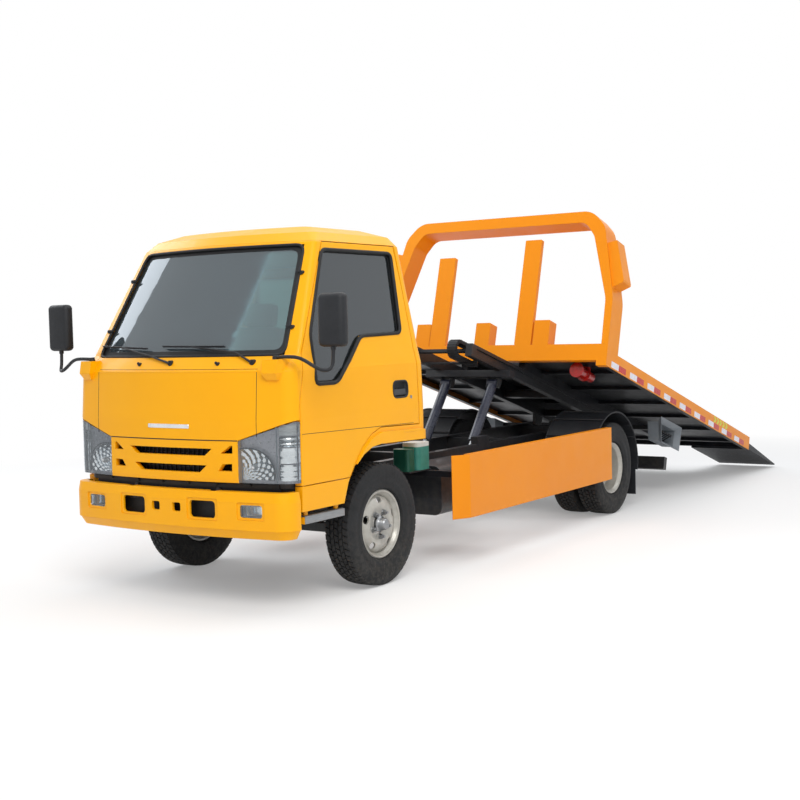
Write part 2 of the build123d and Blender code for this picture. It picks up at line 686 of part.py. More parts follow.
def make_wheels():
    for side, sign in (("left", 1), ("right", -1)):
        x = sign * front_track / 2
        add("front_tyre_" + side, tyre_ring(x, 0))
        hub_in = sign * (stub_end + seat_gap)
        hub = spin_x([(hub_in, 44), (sign * 50, 62), (sign * 74, 62), (sign * 74, 50), (sign * 116, 44),
                      (sign * 116, 0), (hub_in, 0)], x, 0, axle_z)
        add("front_rim_" + side, rim_shape(x, 0, 62, sign) + hub)
        mid = sign * rear_track / 2
        add("rear_tyres_" + side, [tyre_ring(mid - dual_spacing / 2, wheelbase),
                                   tyre_ring(mid + dual_spacing / 2, wheelbase)])
        outer_rim = rim_shape(mid + sign * dual_spacing / 2, wheelbase, -88, sign)
        inner_rim = rim_shape(mid - sign * dual_spacing / 2, wheelbase, 88, sign)
        hub = spin_x([(sign * -112, 60), (sign * -80, 60), (sign * -80, 75), (sign * 30, 75), (sign * 30, 61.5),
                      (sign * 72, 58), (sign * 72, 0), (sign * -112, 0)], mid, wheelbase, axle_z)
        hub = hub - x_rod(min(0, sign * 614), max(0, sign * 614), wheelbase, axle_z, 52 + pin_gap)
        add("rear_rims_" + side, outer_rim + inner_rim + hub)

        # knuckle: two eyes on the kingpin and the stub that carries the hub
        ring = Pos(sign * kingpin_x, 0, axle_z) * (
            (Pos(0, 0, 62) * Cylinder(36, 44)) + (Pos(0, 0, -62) * Cylinder(36, 44)))
        bridge_x = sorted((sign * (kingpin_x + 32), sign * (kingpin_x + 62)))
        bridge = box(bridge_x[0], bridge_x[1], -44, 44, axle_z - 84, axle_z + 84)
        for z in (62, -62):
            link_x = sorted((sign * kingpin_x, sign * (kingpin_x + 40)))
            bridge = bridge + box(link_x[0], link_x[1], -30, 30, axle_z + z - 22, axle_z + z + 22)
        stub_x = sorted((sign * (kingpin_x + 40), sign * (front_track / 2 + stub_end)))
        stub = x_rod(stub_x[0], stub_x[1], 0, axle_z, 30)
        knuckle = ring + bridge + stub
        knuckle = knuckle - Pos(sign * kingpin_x, 0, axle_z) * Cylinder(kingpin_r + pin_gap, 400)
        steer_arm_x = sorted((sign * (kingpin_x - 14), sign * (kingpin_x + 14)))
        arm = box(steer_arm_x[0], steer_arm_x[1], 30, 190, axle_z - 84, axle_z - 60)
        add("knuckle_" + side, knuckle + arm)


def make_underbody():
    web_in = rail_out_x - rail_wall
    engine = box(-215, 215, -560, 240, 372, 846) + box(-130, 130, 240, 640, 380, 640)
    add("engine_block", engine + box(-web_in, web_in, -300, -240, 560, 610))
    add("radiator", box(-265, 265, -800, -740, 400, 840) + box(-web_in, web_in, -790, -750, 560, 600))
    tank = box(388, 760, 830, 1480, 320, 660)
    tank = fillet(tank.edges().filter_by(Axis.Y), 60)
    strap_top = box(rail_out_x, 390, 900, 940, 560, 640) + box(rail_out_x, 390, 1330, 1370, 560, 640)
    add("fuel_tank", tank + strap_top)
    battery = box(-740, -388, 790, 1240, 400, 640) + box(-392, -rail_out_x, 820, 1200, 560, 620)
    add("battery_box", battery)
    bottles = [fillet(box(560, 700, 640, 800, 650, 835).edges().filter_by(Axis.Z), 34),
               fillet(box(560, 690, 530, 622, 650, 800).edges().filter_by(Axis.Z), 24)]
    add("coolant_bottles", bottles)
    muffler = Pos(-520, 1700, 470) * Rot(90, 0, 0) * Cylinder(105, 620)
    hangers = box(-530, -rail_out_x, 1500, 1520, 560, 610) + box(-530, -rail_out_x, 1880, 1900, 560, 610)
    add("muffler", muffler + hangers)

    guards = []
    for side, sign in (("left", 1), ("right", -1)):
        xs = sorted((sign * guard_x, sign * (guard_x - guard_t)))
        panel = box(xs[0], xs[1], guard_y0, guard_y1, guard_z0, guard_z1)
        lips = sorted((sign * guard_x, sign * (guard_x - guard_lip)))
        panel = panel + box(lips[0], lips[1], guard_y0, guard_y1, guard_z1 - guard_t, guard_z1)
        panel = panel + box(lips[0], lips[1], guard_y0, guard_y1, guard_z0, guard_z0 + guard_t)
        nose_x, nose_y = guard_x - guard_nose_in, guard_y0 - guard_nose_len
        nose = [(sign * guard_x, guard_y0), (sign * nose_x, nose_y), (sign * (nose_x - guard_t), nose_y + guard_t),
                (sign * (guard_x - guard_t), guard_y0 + guard_t)]
        face = make_face(Polyline([(x, y, guard_z0) for x, y in nose], close=True))
        panel = panel + extrude(face, guard_z1 - guard_z0, dir=(0, 0, 1))
        arms = []
        for y in (765, 1560, 2300, 2845):
            ax = sorted((sign * rail_out_x, sign * (guard_x - guard_t)))
            arms.append(box(ax[0], ax[1], y - 20, y + 20, 600, 640))
        for arm in arms:
            panel = panel + arm
        guards.append(panel)
    add("side_guards", guards)

    fenders = []
    fender_r = 476
    for sign in (1, -1):
        lo, hi = sorted((sign * 478, sign * 935))
        ring = x_rod(lo, hi, wheelbase, axle_z, fender_r)
        ring = ring - x_rod(lo - 1, hi + 1, wheelbase, axle_z, fender_r - 8)
        ring = ring & box(lo, hi, wheelbase - 600, wheelbase + 600, axle_z - 60, 900)
        flap = box(lo + 20, hi - 20, wheelbase + fender_r - 14, wheelbase + fender_r - 6, 110, axle_z - 40)
        ax = sorted((sign * rail_out_x, sign * 500))
        stay = box(ax[0], ax[1], wheelbase - 465, wheelbase - 430, 560, 600)
        stay = stay + box(ax[0], ax[1], wheelbase + 430, wheelbase + 465, 560, 600)
        fenders.append(ring + flap + (stay - x_rod(lo - 400, hi + 400, wheelbase, axle_z, fender_r - 8)))
    add("rear_fenders", fenders)


def make_tilt_frame():
    frame = None
    for sign in (1, -1):
        x0, x1 = sorted((sign * tilt_rail_in_x, sign * (tilt_rail_in_x + tilt_rail_w)))
        rail = box(x0, x1, tilt_front_s, tilt_rear_s, tilt_rail_n0, tilt_rail_n1)
        gx = sorted((sign * (tilt_rail_in_x + tilt_rail_w - 14), sign * (tilt_rail_in_x + tilt_rail_w)))
        groove = box(gx[0], gx[1], tilt_front_s + 70, tilt_rear_s, tilt_rail_n0 + 26, tilt_rail_n1 - 26)
        rail = rail - groove
        frame = rail if frame is None else frame + rail
        # pivot lug round the chassis cross tube
        lx = sorted((sign * 254, sign * 282))
        lug = side_prism([(-80, tilt_rail_n0 + 1), (-50, -30), (-20, -58), (20, -58), (50, -30),
                          (80, tilt_rail_n0 + 1)], lx[0], lx[1])
        frame = frame + (lug - x_rod(lx[0] - 1, lx[1] + 1, 0, 0, pivot_r + pin_gap))
        # eye plates of the lifting rams
        for a, b in ((ram_x - ram_eye_w / 2 - 13, ram_x - ram_eye_w / 2 - seat_gap),
                     (ram_x + ram_eye_w / 2 + seat_gap, ram_x + ram_eye_w / 2 + 13)):
            px = sorted((sign * a, sign * b))
            plate = side_prism([(crossbar_s, tilt_rail_n0 - 4), (crossbar_s, ram_eye_n - 10),
                                (ram_eye_s - 20, ram_eye_n - 36), (ram_eye_s + 26, ram_eye_n - 32),
                                (ram_eye_s + 40, ram_eye_n + 6), (ram_eye_s + 30, tilt_rail_n0 + 10),
                                (crossbar_s, tilt_rail_n0 + 10)], px[0], px[1])
            frame = frame + plate
        pin = sorted((sign * (ram_x - ram_eye_w / 2 - 13), sign * (ram_x + ram_eye_w / 2 + 13)))
        frame = frame + x_rod(pin[0], pin[1], ram_eye_s, ram_eye_n, ram_pin_r)
    half = crossbar_half_x
    frame = frame + box(-half, half, crossbar_s - crossbar_d / 2, crossbar_s + crossbar_d / 2,
                        tilt_rail_n0 - crossbar_h + 0.5, tilt_rail_n0 + 0.5)
    inner = tilt_rail_in_x
    for s in (-700, 130):
        frame = frame + box(-inner - 1, inner + 1, s - 30, s + 30, tilt_rail_n0 + 20, tilt_rail_n1 - 20)
    # nose member, which passes through the energy chain's loop, and the tray under the chain
    frame = frame + box(-inner - 1, inner + 1, tilt_front_s + 60, tilt_front_s + 110, tilt_rail_n0 + 48,
                        tilt_rail_n0 + 72)
    tray_top = tilt_rail_n1 - 40 - 74
    tray = box(-inner - 12, inner + 12, tilt_front_s + 150, tilt_front_s + 190, tray_top - 10, tray_top)
    for ear in both_sides(box(inner - 12, inner + 12, tilt_front_s + 150, tilt_front_s + 190, tray_top - 10,
                              tilt_rail_n0 + 1)):
        tray = tray + ear
    frame = frame + tray
    # drop arms to the under-run bar and the outriggers to the lever boxes
    for sign in (1, -1):
        dx = sorted((sign * 262, sign * 298))
        frame = frame + side_prism([(600, tilt_rail_n0 + 1), (604, -120), (616, -120), (680, -120),
                                    (tilt_rear_s, tilt_rail_n0 + 1)], dx[0], dx[1])
        ox = sorted((sign * 262, sign * 800))
        frame = frame + box(ox[0], ox[1], 300, 350, 82, 118)
        frame = frame + box(dx[0], dx[1], 300, 350, 82, tilt_rail_n0 + 1)
    frame = frame + box(-800, 800, 606, 672, -236, -119)
    add("tilt_frame", tilted(frame))

    boxes = []
    for sign in (1, -1):
        # flared box, open to the side: columns x, low s, high s, low n, high n
        rings = [(800, 118, 540, -40, 122), (905, 118, 540, -40, 122), (950, 62, 592, -70, 160)]
        faces = []
        holes = []
        wall = 5
        for x, s0, s1, n0, n1 in rings:
            pts = [(s0, n1), (s1, n1), (s1 - 22, n0), (s0 + 60, n0)]
            faces.append(make_face(Polyline([(sign * x, s, n) for s, n in pts], close=True)))
            pts = [(s0 + wall, n1 - wall), (s1 - wall, n1 - wall), (s1 - 22 - wall, n0 + wall),
                   (s0 + 60 + wall, n0 + wall)]
            shift = wall if x == 800 else (1 if x == 950 else 0)
            holes.append(make_face(Polyline([(sign * (x + shift), s, n) for s, n in pts], close=True)))
        shell = loft(faces[:2], ruled=True) + loft(faces[1:], ruled=True)
        hollow = loft(holes[:2], ruled=True) + loft(holes[1:], ruled=True)
        shell = shell - hollow
        boxes.append(shell)
    add("lever_boxes", [tilted(shape) for shape in boxes])

    # energy chain loop over the frame's front end
    chain_x0, chain_x1 = 110, 190
    outer_r, inner_r = 74, 46
    mid_s = tilt_front_s + 20
    mid_n = tilt_rail_n1 - 40
    loop = x_rod(chain_x0, chain_x1, mid_s, mid_n, outer_r)
    loop = loop - x_rod(chain_x0 - 1, chain_x1 + 1, mid_s, mid_n, inner_r)
    loop = loop & box(chain_x0, chain_x1, mid_s - 200, mid_s, mid_n - 200, mid_n + 200)
    loop = loop + box(chain_x0, chain_x1, mid_s, mid_s + 300, mid_n - outer_r, mid_n - inner_r)
    loop = loop + box(chain_x0, chain_x1, mid_s, mid_s + 300, mid_n + inner_r, mid_n + outer_r)
    add("hose_chain", tilted(loop))


def make_rams():
    eye_y = pivot_y + ram_eye_s * cos_t + ram_eye_n * sin_t
    eye_z = pivot_z - ram_eye_s * sin_t + ram_eye_n * cos_t
    down = math.degrees(math.atan2(ram_foot_y - eye_y, -(ram_foot_z - eye_z)))
    reach = math.hypot(ram_foot_y - eye_y, ram_foot_z - eye_z)
    level_reach = math.hypot(ram_foot_y - pivot_y - ram_eye_s, ram_foot_z - pivot_z - ram_eye_n)
    barrels = []
    rods = []
    for x in (ram_x, -ram_x):
        # drawn hanging down from the upper eye
        place = Pos(x, eye_y, eye_z) * Rot(down, 0, 0)
        eye = x_rod(-ram_eye_w / 2, ram_eye_w / 2, 0, 0, ram_eye_r)
        tube = Pos(0, 0, -ram_eye_r - ram_barrel_len / 2 + 10) * Cylinder(ram_r, ram_barrel_len)
        barrel = eye + tube
        barrel = barrel - x_rod(-60, 60, 0, 0, ram_pin_r + pin_gap)
        low_end = -ram_eye_r - ram_barrel_len + 10
        bore_top = -ram_eye_r - 20
        bore = Pos(0, 0, (low_end + bore_top) / 2 - 10) * Cylinder(ram_rod_r + pin_gap, bore_top - low_end + 20)
        barrel = barrel - bore
        barrels.append(place * barrel)
        foot = Pos(0, 0, -reach) * x_rod(-ram_eye_w / 2, ram_eye_w / 2, 0, 0, ram_eye_r)
        rod_top = bore_top - (reach - level_reach) - rod_spare
        rod = Pos(0, 0, (rod_top - reach) / 2) * Cylinder(ram_rod_r, reach + rod_top)
        rod = foot + rod
        rods.append(place * rod)
    add("ram_barrels", barrels)
    add("ram_rods", rods)


def rounded_hoop(points, radius, grow):
    # solid panel inside the hoop's line with its upper corners rounded, moved out by grow
    mid_w = 700
    moved = [(x + math.copysign(1, x) * grow, w + (grow if w > mid_w else 0)) for x, w in points]
    face = make_face(Polyline([(x, 0, w) for x, w in moved], close=True))
    face = fillet(face.vertices().filter_by(lambda v: v.Z > 1050), radius)
    face = fillet(face.vertices().filter_by(lambda v: 500 < v.Z < 600), 2 * radius)
    return Pos(0, -60, 0) * extrude(face, 210, dir=(0, 1, 0))


def make_bed():
    side = box(bed_half_w - bed_wall, bed_half_w, 0, bed_rail_len, 0, bed_rail_h)
    side = side + box(bed_half_w - bed_rail_w, bed_half_w, 0, bed_rail_len, bed_rail_h - bed_wall, bed_rail_h)
    side = side + box(bed_half_w - bed_rail_w, bed_half_w, 0, bed_rail_len, 0, bed_wall)
    deck = side + mirror(side, about=Plane.YZ)
    inner = bed_half_w - bed_wall
    deck = deck + box(-inner, inner, 0, bed_rail_len, bed_floor_w, bed_floor_w + bed_wall)
    deck = deck + box(-bed_plate_half, bed_plate_half, 160, bed_rail_len - 20, bed_floor_w + bed_wall,
                      bed_floor_w + bed_wall + bed_plate_t)
    # long beams over the tilting frame's rails
    for sign in (1, -1):
        bx = sorted((sign * 250, sign * 310))
        deck = deck + box(bx[0], bx[1], 60, bed_rail_len - 40, seat_gap - slide_gap, bed_floor_w)
    member_low = 34
    pitch = 600
    for index in range(6):
        s = 390 + pitch * index
        deck = deck + box(-inner, inner, s - 20, s + 20, member_low, bed_floor_w)
    deck = deck + box(-inner, inner, bed_rail_len - 30, bed_rail_len, 20, bed_floor_w)
    add("bed_deck", on_bed(deck))

    beam = box(-bed_half_w, bed_half_w, -60, 0, 42, 180)
    for sign in (1, -1):
        fx = sorted((sign * (bed_half_w - 90), sign * bed_half_w))
        beam = beam + box(fx[0], fx[1], -60, 0, 0, 50)
    # hoop legs and top bar; columns x, w of the outer line, then of the inner line
    outer_pts = [(1100, 180), (1100, 560), (968, 1180), (840, 1318), (-840, 1318), (-968, 1180), (-1100, 560),
                 (-1100, 180)]
    inner_pts = [(1040, 180), (1036, 560), (879, 1100), (790, 1222), (-790, 1222), (-879, 1100), (-1036, 560),
                 (-1040, 180)]
    outer_hoop = rounded_hoop(outer_pts, hoop_corner_r + 70, 0)
    inner_hoop = rounded_hoop(inner_pts, hoop_corner_r, 0)
    hoop = outer_hoop - inner_hoop
    # the hoop's tube is open to the rear between its two walls
    hoop = hoop - ((rounded_hoop(outer_pts, hoop_corner_r + 63, -7) - rounded_hoop(inner_pts, hoop_corner_r + 7, 7))
                   & box(-bed_half_w, bed_half_w, -52, 200, 560, 1400))
    # posts and low blocks on the front beam: low x, high x, low w, high w, depth
    for x0, x1, w0, w1, depth in ((-593, -431, 180, 980, 40), (247, 401, 180, 1096, 40), (416, 561, 180, 390, 120),
                                  (-141, -2, 180, 378, 120), (-740, -598, 180, 378, 120)):
        post = box(x0, x1, -60, -60 + depth, w0, w1)
        beam = beam + fillet(post.edges().filter_by(Axis.Y), 8)
    add("bed_front_beam", on_bed(beam))

    for sign in (1, -1):
        pts = [(960, 1030), (1078, 1057), (1170, 720), (1170, 699), (1045, 640)]
        if sign < 0:
            pts = [(-x, w) for x, w in pts]
        hoop = hoop + front_prism(pts, -40, 110)
    for foot in both_sides(box(1040, bed_half_w, 0, 150, bed_rail_h, 182)):
        hoop = hoop + foot
    add("bed_hoop", on_bed(hoop))

    winch_x = 790
    winch_w = -8
    drum = Pos(winch_x, 130, winch_w) * Rot(90, 0, 0) * Cylinder(44, 150)
    for s in (60, 200):
        drum = drum + Pos(winch_x, s, winch_w) * Rot(90, 0, 0) * Cylinder(62, 12)
    drum = drum + box(winch_x - 20, winch_x + 20, 50, 62, winch_w, bed_floor_w)
    motor = Pos(winch_x, 271, winch_w) * Rot(90, 0, 0) * Cylinder(42, 130)
    motor = motor + box(winch_x - 20, winch_x + 20, 240, 280, winch_w, bed_floor_w)
    add("winch", [on_bed(drum), on_bed(motor)])

    flaps = []
    for sign in (1, -1):
        fx = sorted((sign * (bed_half_w - tail_w), sign * bed_half_w))
        flap = side_prism([(bed_rail_len, 4), (bed_rail_len + tail_len, 0), (bed_rail_len + tail_len, 12),
                           (bed_rail_len, 66)], fx[0], fx[1])
        flaps.append(flap)
    add("tail_flaps", [on_bed(shape) for shape in flaps])


def main():
    make_cab()
    make_cab_inside()
    make_mirrors()
    make_bumper()
    make_chassis()
    make_axles()
    make_wheels()
    make_underbody()
    make_tilt_frame()
    make_rams()
    make_bed()
    os.makedirs("parts", exist_ok=True)
    home = Pos(0, -origin_y, 0)
    for name, shapes in nodes.items():
        moved = [home * shape for shape in shapes]
        shape = moved[0] if len(moved) == 1 else Compound(children=moved)
        export_step(shape, "parts/" + name + ".step")
    print("origin_y", round(origin_y, 1), "bed travel", round(bed_travel, 1), "nodes", len(nodes))


main()
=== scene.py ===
import math
import random

import bmesh
import bpy
from mathutils import Matrix, Vector


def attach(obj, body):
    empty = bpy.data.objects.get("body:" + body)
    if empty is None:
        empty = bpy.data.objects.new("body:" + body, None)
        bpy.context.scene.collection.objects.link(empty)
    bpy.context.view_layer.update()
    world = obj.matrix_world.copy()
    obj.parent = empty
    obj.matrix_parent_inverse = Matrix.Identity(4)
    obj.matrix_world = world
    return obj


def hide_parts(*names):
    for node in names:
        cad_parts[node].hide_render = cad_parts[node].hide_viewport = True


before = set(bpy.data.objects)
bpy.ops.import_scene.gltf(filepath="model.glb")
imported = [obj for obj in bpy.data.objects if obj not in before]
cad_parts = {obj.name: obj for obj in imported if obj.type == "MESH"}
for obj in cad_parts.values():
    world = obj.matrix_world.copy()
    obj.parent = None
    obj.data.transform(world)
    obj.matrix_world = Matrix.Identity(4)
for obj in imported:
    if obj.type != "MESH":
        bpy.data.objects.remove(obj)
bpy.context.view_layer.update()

# Sizes repeated from the CAD source, in mm, in the truck's own frame:
# X to its left, Y rearward from the front axle, Z up from the road.
ORIGIN_Y = 3092.895
TILT = math.radians(15.89)
SIN, COS = math.sin(TILT), math.cos(TILT)
PIVOT_Y, PIVOT_Z = 4250, 620
BED_N = (2882 - PIVOT_Y) * SIN + (1261 - PIVOT_Z) * COS
BED_S = (2882 - PIVOT_Y) * COS - (1261 - PIVOT_Z) * SIN
BED_HALF, BED_LEN, TAIL_LEN = 1100, 3621, 912
TYRE_R, TYRE_W, RIM_R = 388, 196, 214
FRONT_X, REAR_X, DUAL, WHEELBASE = 752, 712.5, 232, 3360
DOOR_FRONT_Y = -853

# z, half width, front y at the middle, front y at the corner, corner radius
CAB = [
    (577, 862, -1002, -912, 95), (766, 866, -1018, -926, 100), (1100, 869, -1015, -922, 100),
    (1385, 860, -1000, -903, 90), (1481, 836, -935, -797, 34), (2142, 702, -565, -447, 34), (2205, 655, -500, -390, 60),
    (2250, 520, -370, -290, 60),
]


def truck(x, y, z):
    return Vector((x, y - ORIGIN_Y, z)) / 1000


def tilted(x, s, n):
    return truck(x, PIVOT_Y + s * COS + n * SIN, PIVOT_Z - s * SIN + n * COS)


def bed(x, s, w):
    return tilted(x, BED_S + s, BED_N + w)


def cab_row(z):
    z = min(max(z, CAB[0][0]), CAB[-1][0] - 0.01)
    for low, high in zip(CAB, CAB[1:]):
        if low[0] <= z <= high[0]:
            t = (z - low[0]) / (high[0] - low[0])
            return [a + t * (b - a) for a, b in zip(low, high)][1:]


def skin(t, z, depth=0.0):
    # point on the cab's front and corner, t mm round from the middle
    half, mid, corner, r = cab_row(z)
    rise = corner - mid
    big = (half * half + rise * rise) / (2 * rise)
    centre = mid + big
    sign, t = (1, t) if t >= 0 else (-1, -t)
    fy = centre - math.sqrt((big - r) ** 2 - (half - r) ** 2)
    end = math.atan2(half - r, centre - fy)
    if t < big * end:
        a = t / big
        return truck(sign * (big - depth) * math.sin(a), centre - (big - depth) * math.cos(a), z)
    t -= big * end
    turn = math.pi / 2 - end
    if t < r * turn:
        a = end + t / r
        return truck(sign * (half - r + (r - depth) * math.sin(a)), fy - (r - depth) * math.cos(a), z)
    return truck(sign * (half - depth), fy + t - r * turn, z)


def skin_end(z, y):
    # how far round the corner the side reaches a given y
    half, mid, corner, r = cab_row(z)
    rise = corner - mid
    big = (half * half + rise * rise) / (2 * rise)
    centre = mid + big
    fy = centre - math.sqrt((big - r) ** 2 - (half - r) ** 2)
    end = math.atan2(half - r, centre - fy)
    return big * end + r * (math.pi / 2 - end) + y - fy


def front(x, z, depth=0.0):
    half, mid, corner, r = cab_row(z)
    half, mid, corner = half - depth, mid + depth, corner + depth
    rise = corner - mid
    big = (half * half + rise * rise) / (2 * rise)
    return truck(x, mid + big - math.sqrt(big * big - x * x), z)


def side(sign, y, z, depth=0.0):
    return truck(sign * (cab_row(z)[0] - depth), y, z)


# Materials

def srgb(text):
    values = [int(text[i:i + 2], 16) / 255 for i in (0, 2, 4)]
    return tuple(v / 12.92 if v <= 0.04045 else ((v + 0.055) / 1.055) ** 2.4 for v in values)


class Nodes:
    def __init__(self, name):
        self.mat = bpy.data.materials.new(name)
        self.mat.use_nodes = True
        self.tree = self.mat.node_tree
        self.shader = self.tree.nodes["Principled BSDF"]
        self.coords = self.add("ShaderNodeTexCoord").outputs["Object"]

    def add(self, kind, links=None, **values):
        node = self.tree.nodes.new(kind)
        for key, value in values.items():
            setattr(node, key, value)
        for key, value in (links or {}).items():
            self.put(node.inputs[key], value)
        return node

    def put(self, socket, value):
        if isinstance(value, bpy.types.NodeSocket):
            self.tree.links.new(value, socket)
        else:
            socket.default_value = value

    def noise(self, scale, detail=4.0, rough=0.6, stretch=None):
        coords = self.coords
        if stretch:
            coords = self.add("ShaderNodeMapping", {"Vector": coords, "Scale": stretch}).outputs[0]
        return self.add("ShaderNodeTexNoise",
                        {"Vector": coords, "Scale": scale, "Detail": detail, "Roughness": rough}).outputs["Fac"]

    def ramp(self, value, low, high, out_low=0.0, out_high=1.0):
        return self.add("ShaderNodeMapRange",
                        {0: value, 1: low, 2: high, 3: out_low, 4: out_high}).outputs[0]

    def mix(self, fac, a, b):
        node = self.add("ShaderNodeMix", data_type="RGBA")
        for index, value in ((0, fac), (6, a), (7, b)):
            if isinstance(value, tuple):
                value = tuple(value) + (1,)
            self.put(node.inputs[index], value)
        return node.outputs[2]

    def math(self, kind, a, b=0.0):
        return self.add("ShaderNodeMath", {0: a, 1: b}, operation=kind).outputs[0]

    def height(self, axis=2):
        parts = self.add("ShaderNodeSeparateXYZ", {0: self.coords})
        return parts.outputs[axis]


def finish_material(name, colour, second=None, rough=0.45, spread=0.12, metal=0.0, coat=0.0, patch=3.0,
                    grain=300.0, bump=0.08, depth=0.0006, dust=None, dust_top=0.9, dust_amount=0.5,
                    round_edges=0.0, stretch=None, wear=None, extra=None, shine=0.35):
    n = Nodes(name)
    base = srgb(colour)
    other = srgb(second) if second else tuple(v * 0.86 for v in base)
    cloud = n.noise(patch, 5.0, 0.6, stretch)
    colour_out = n.mix(n.ramp(cloud, 0.35, 0.7), base, other)
    if dust:
        low = n.ramp(n.height(), 0.05, dust_top, 1.0, 0.0)
        speckle = n.ramp(n.noise(patch * 4, 8.0, 0.7), 0.42, 0.72)
        colour_out = n.mix(n.math("MULTIPLY", n.math("MULTIPLY", low, speckle), dust_amount), colour_out,
                           srgb(dust))
    normal = None
    if round_edges:
        normal = n.add("ShaderNodeBevel", {"Radius": round_edges}, samples=4).outputs[0]
    if wear:
        plain = n.add("ShaderNodeNewGeometry").outputs["Normal"]
        soft = n.add("ShaderNodeBevel", {"Radius": 0.004}, samples=4).outputs[0]
        dot = n.add("ShaderNodeVectorMath", {0: plain, 1: soft}, operation="DOT_PRODUCT").outputs["Value"]
        edge = n.ramp(dot, 0.99, 0.86)
        mask = n.math("MULTIPLY", edge, n.ramp(n.noise(26, 6.0, 0.7), 0.55, 0.7))
        colour_out = n.mix(mask, colour_out, srgb(wear))
    if extra:
        colour_out = extra(n, colour_out)
    n.put(n.shader.inputs["Base Color"], colour_out)
    n.put(n.shader.inputs["Roughness"], n.ramp(n.noise(patch * 6, 6.0), 0.3, 0.7, rough - spread / 2,
                                               rough + spread / 2))
    n.shader.inputs["Metallic"].default_value = metal
    n.shader.inputs["Specular IOR Level"].default_value = shine
    n.shader.inputs["Coat Weight"].default_value = coat
    n.shader.inputs["Coat Roughness"].default_value = 0.06
    if bump:
        fine = n.add("ShaderNodeBump", {"Height": n.noise(grain, 3.0), "Strength": bump, "Distance": depth})
        if normal:
            n.put(fine.inputs["Normal"], normal)
        normal = fine.outputs[0]
    if normal:
        n.put(n.shader.inputs["Normal"], normal)
    return n.mat


def deck_colour(n, colour_out):
    # the bed's underside and everything inside its width below the top face are painted near black as shade; the top
    # face and the sides keep the paint
    place = n.add("ShaderNodeVectorMath", {0: n.coords, 1: tuple(bed(0, 0, 0))}, operation="SUBTRACT").outputs[0]
    across = n.add("ShaderNodeVectorMath", {0: place, 1: (0.0, SIN, COS)}, operation="DOT_PRODUCT").outputs["Value"]
    x = n.math("ABSOLUTE", n.height(0))
    inside = n.ramp(x, 1.0935, 1.0945, 1.0, 0.0)
    under = n.ramp(across, 0.0655, 0.0662, 1.0, 0.0)
    # near-black painted shade for the deck's underside
    painted_under_shade = n.mix(n.ramp(n.noise(9, 6.0), 0.4, 0.7), srgb("15161A"), srgb("24262B"))
    return n.mix(n.math("MULTIPLY", inside, under), colour_out, painted_under_shade)


def bottle_colour(n, colour_out):
    # the washer bottle in front is dark, the coolant bottle behind it teal with a pale top
    split = truck(0, 632, 0).y
    ahead = n.ramp(n.height(1), split - 0.001, split + 0.001, 1.0, 0.0)
    high = n.ramp(n.height(), 0.805, 0.811)
    teal = n.mix(high, colour_out, srgb("D9DBD6"))
    return n.mix(ahead, teal, srgb("1D5A48"))


def guard_colour(n, colour_out):
    # the guards are painted, their arms are black
    inside = n.ramp(n.math("ABSOLUTE", n.height(0)), 0.974, 0.976, 1.0, 0.0)
    return n.mix(inside, colour_out, srgb("15161A"))


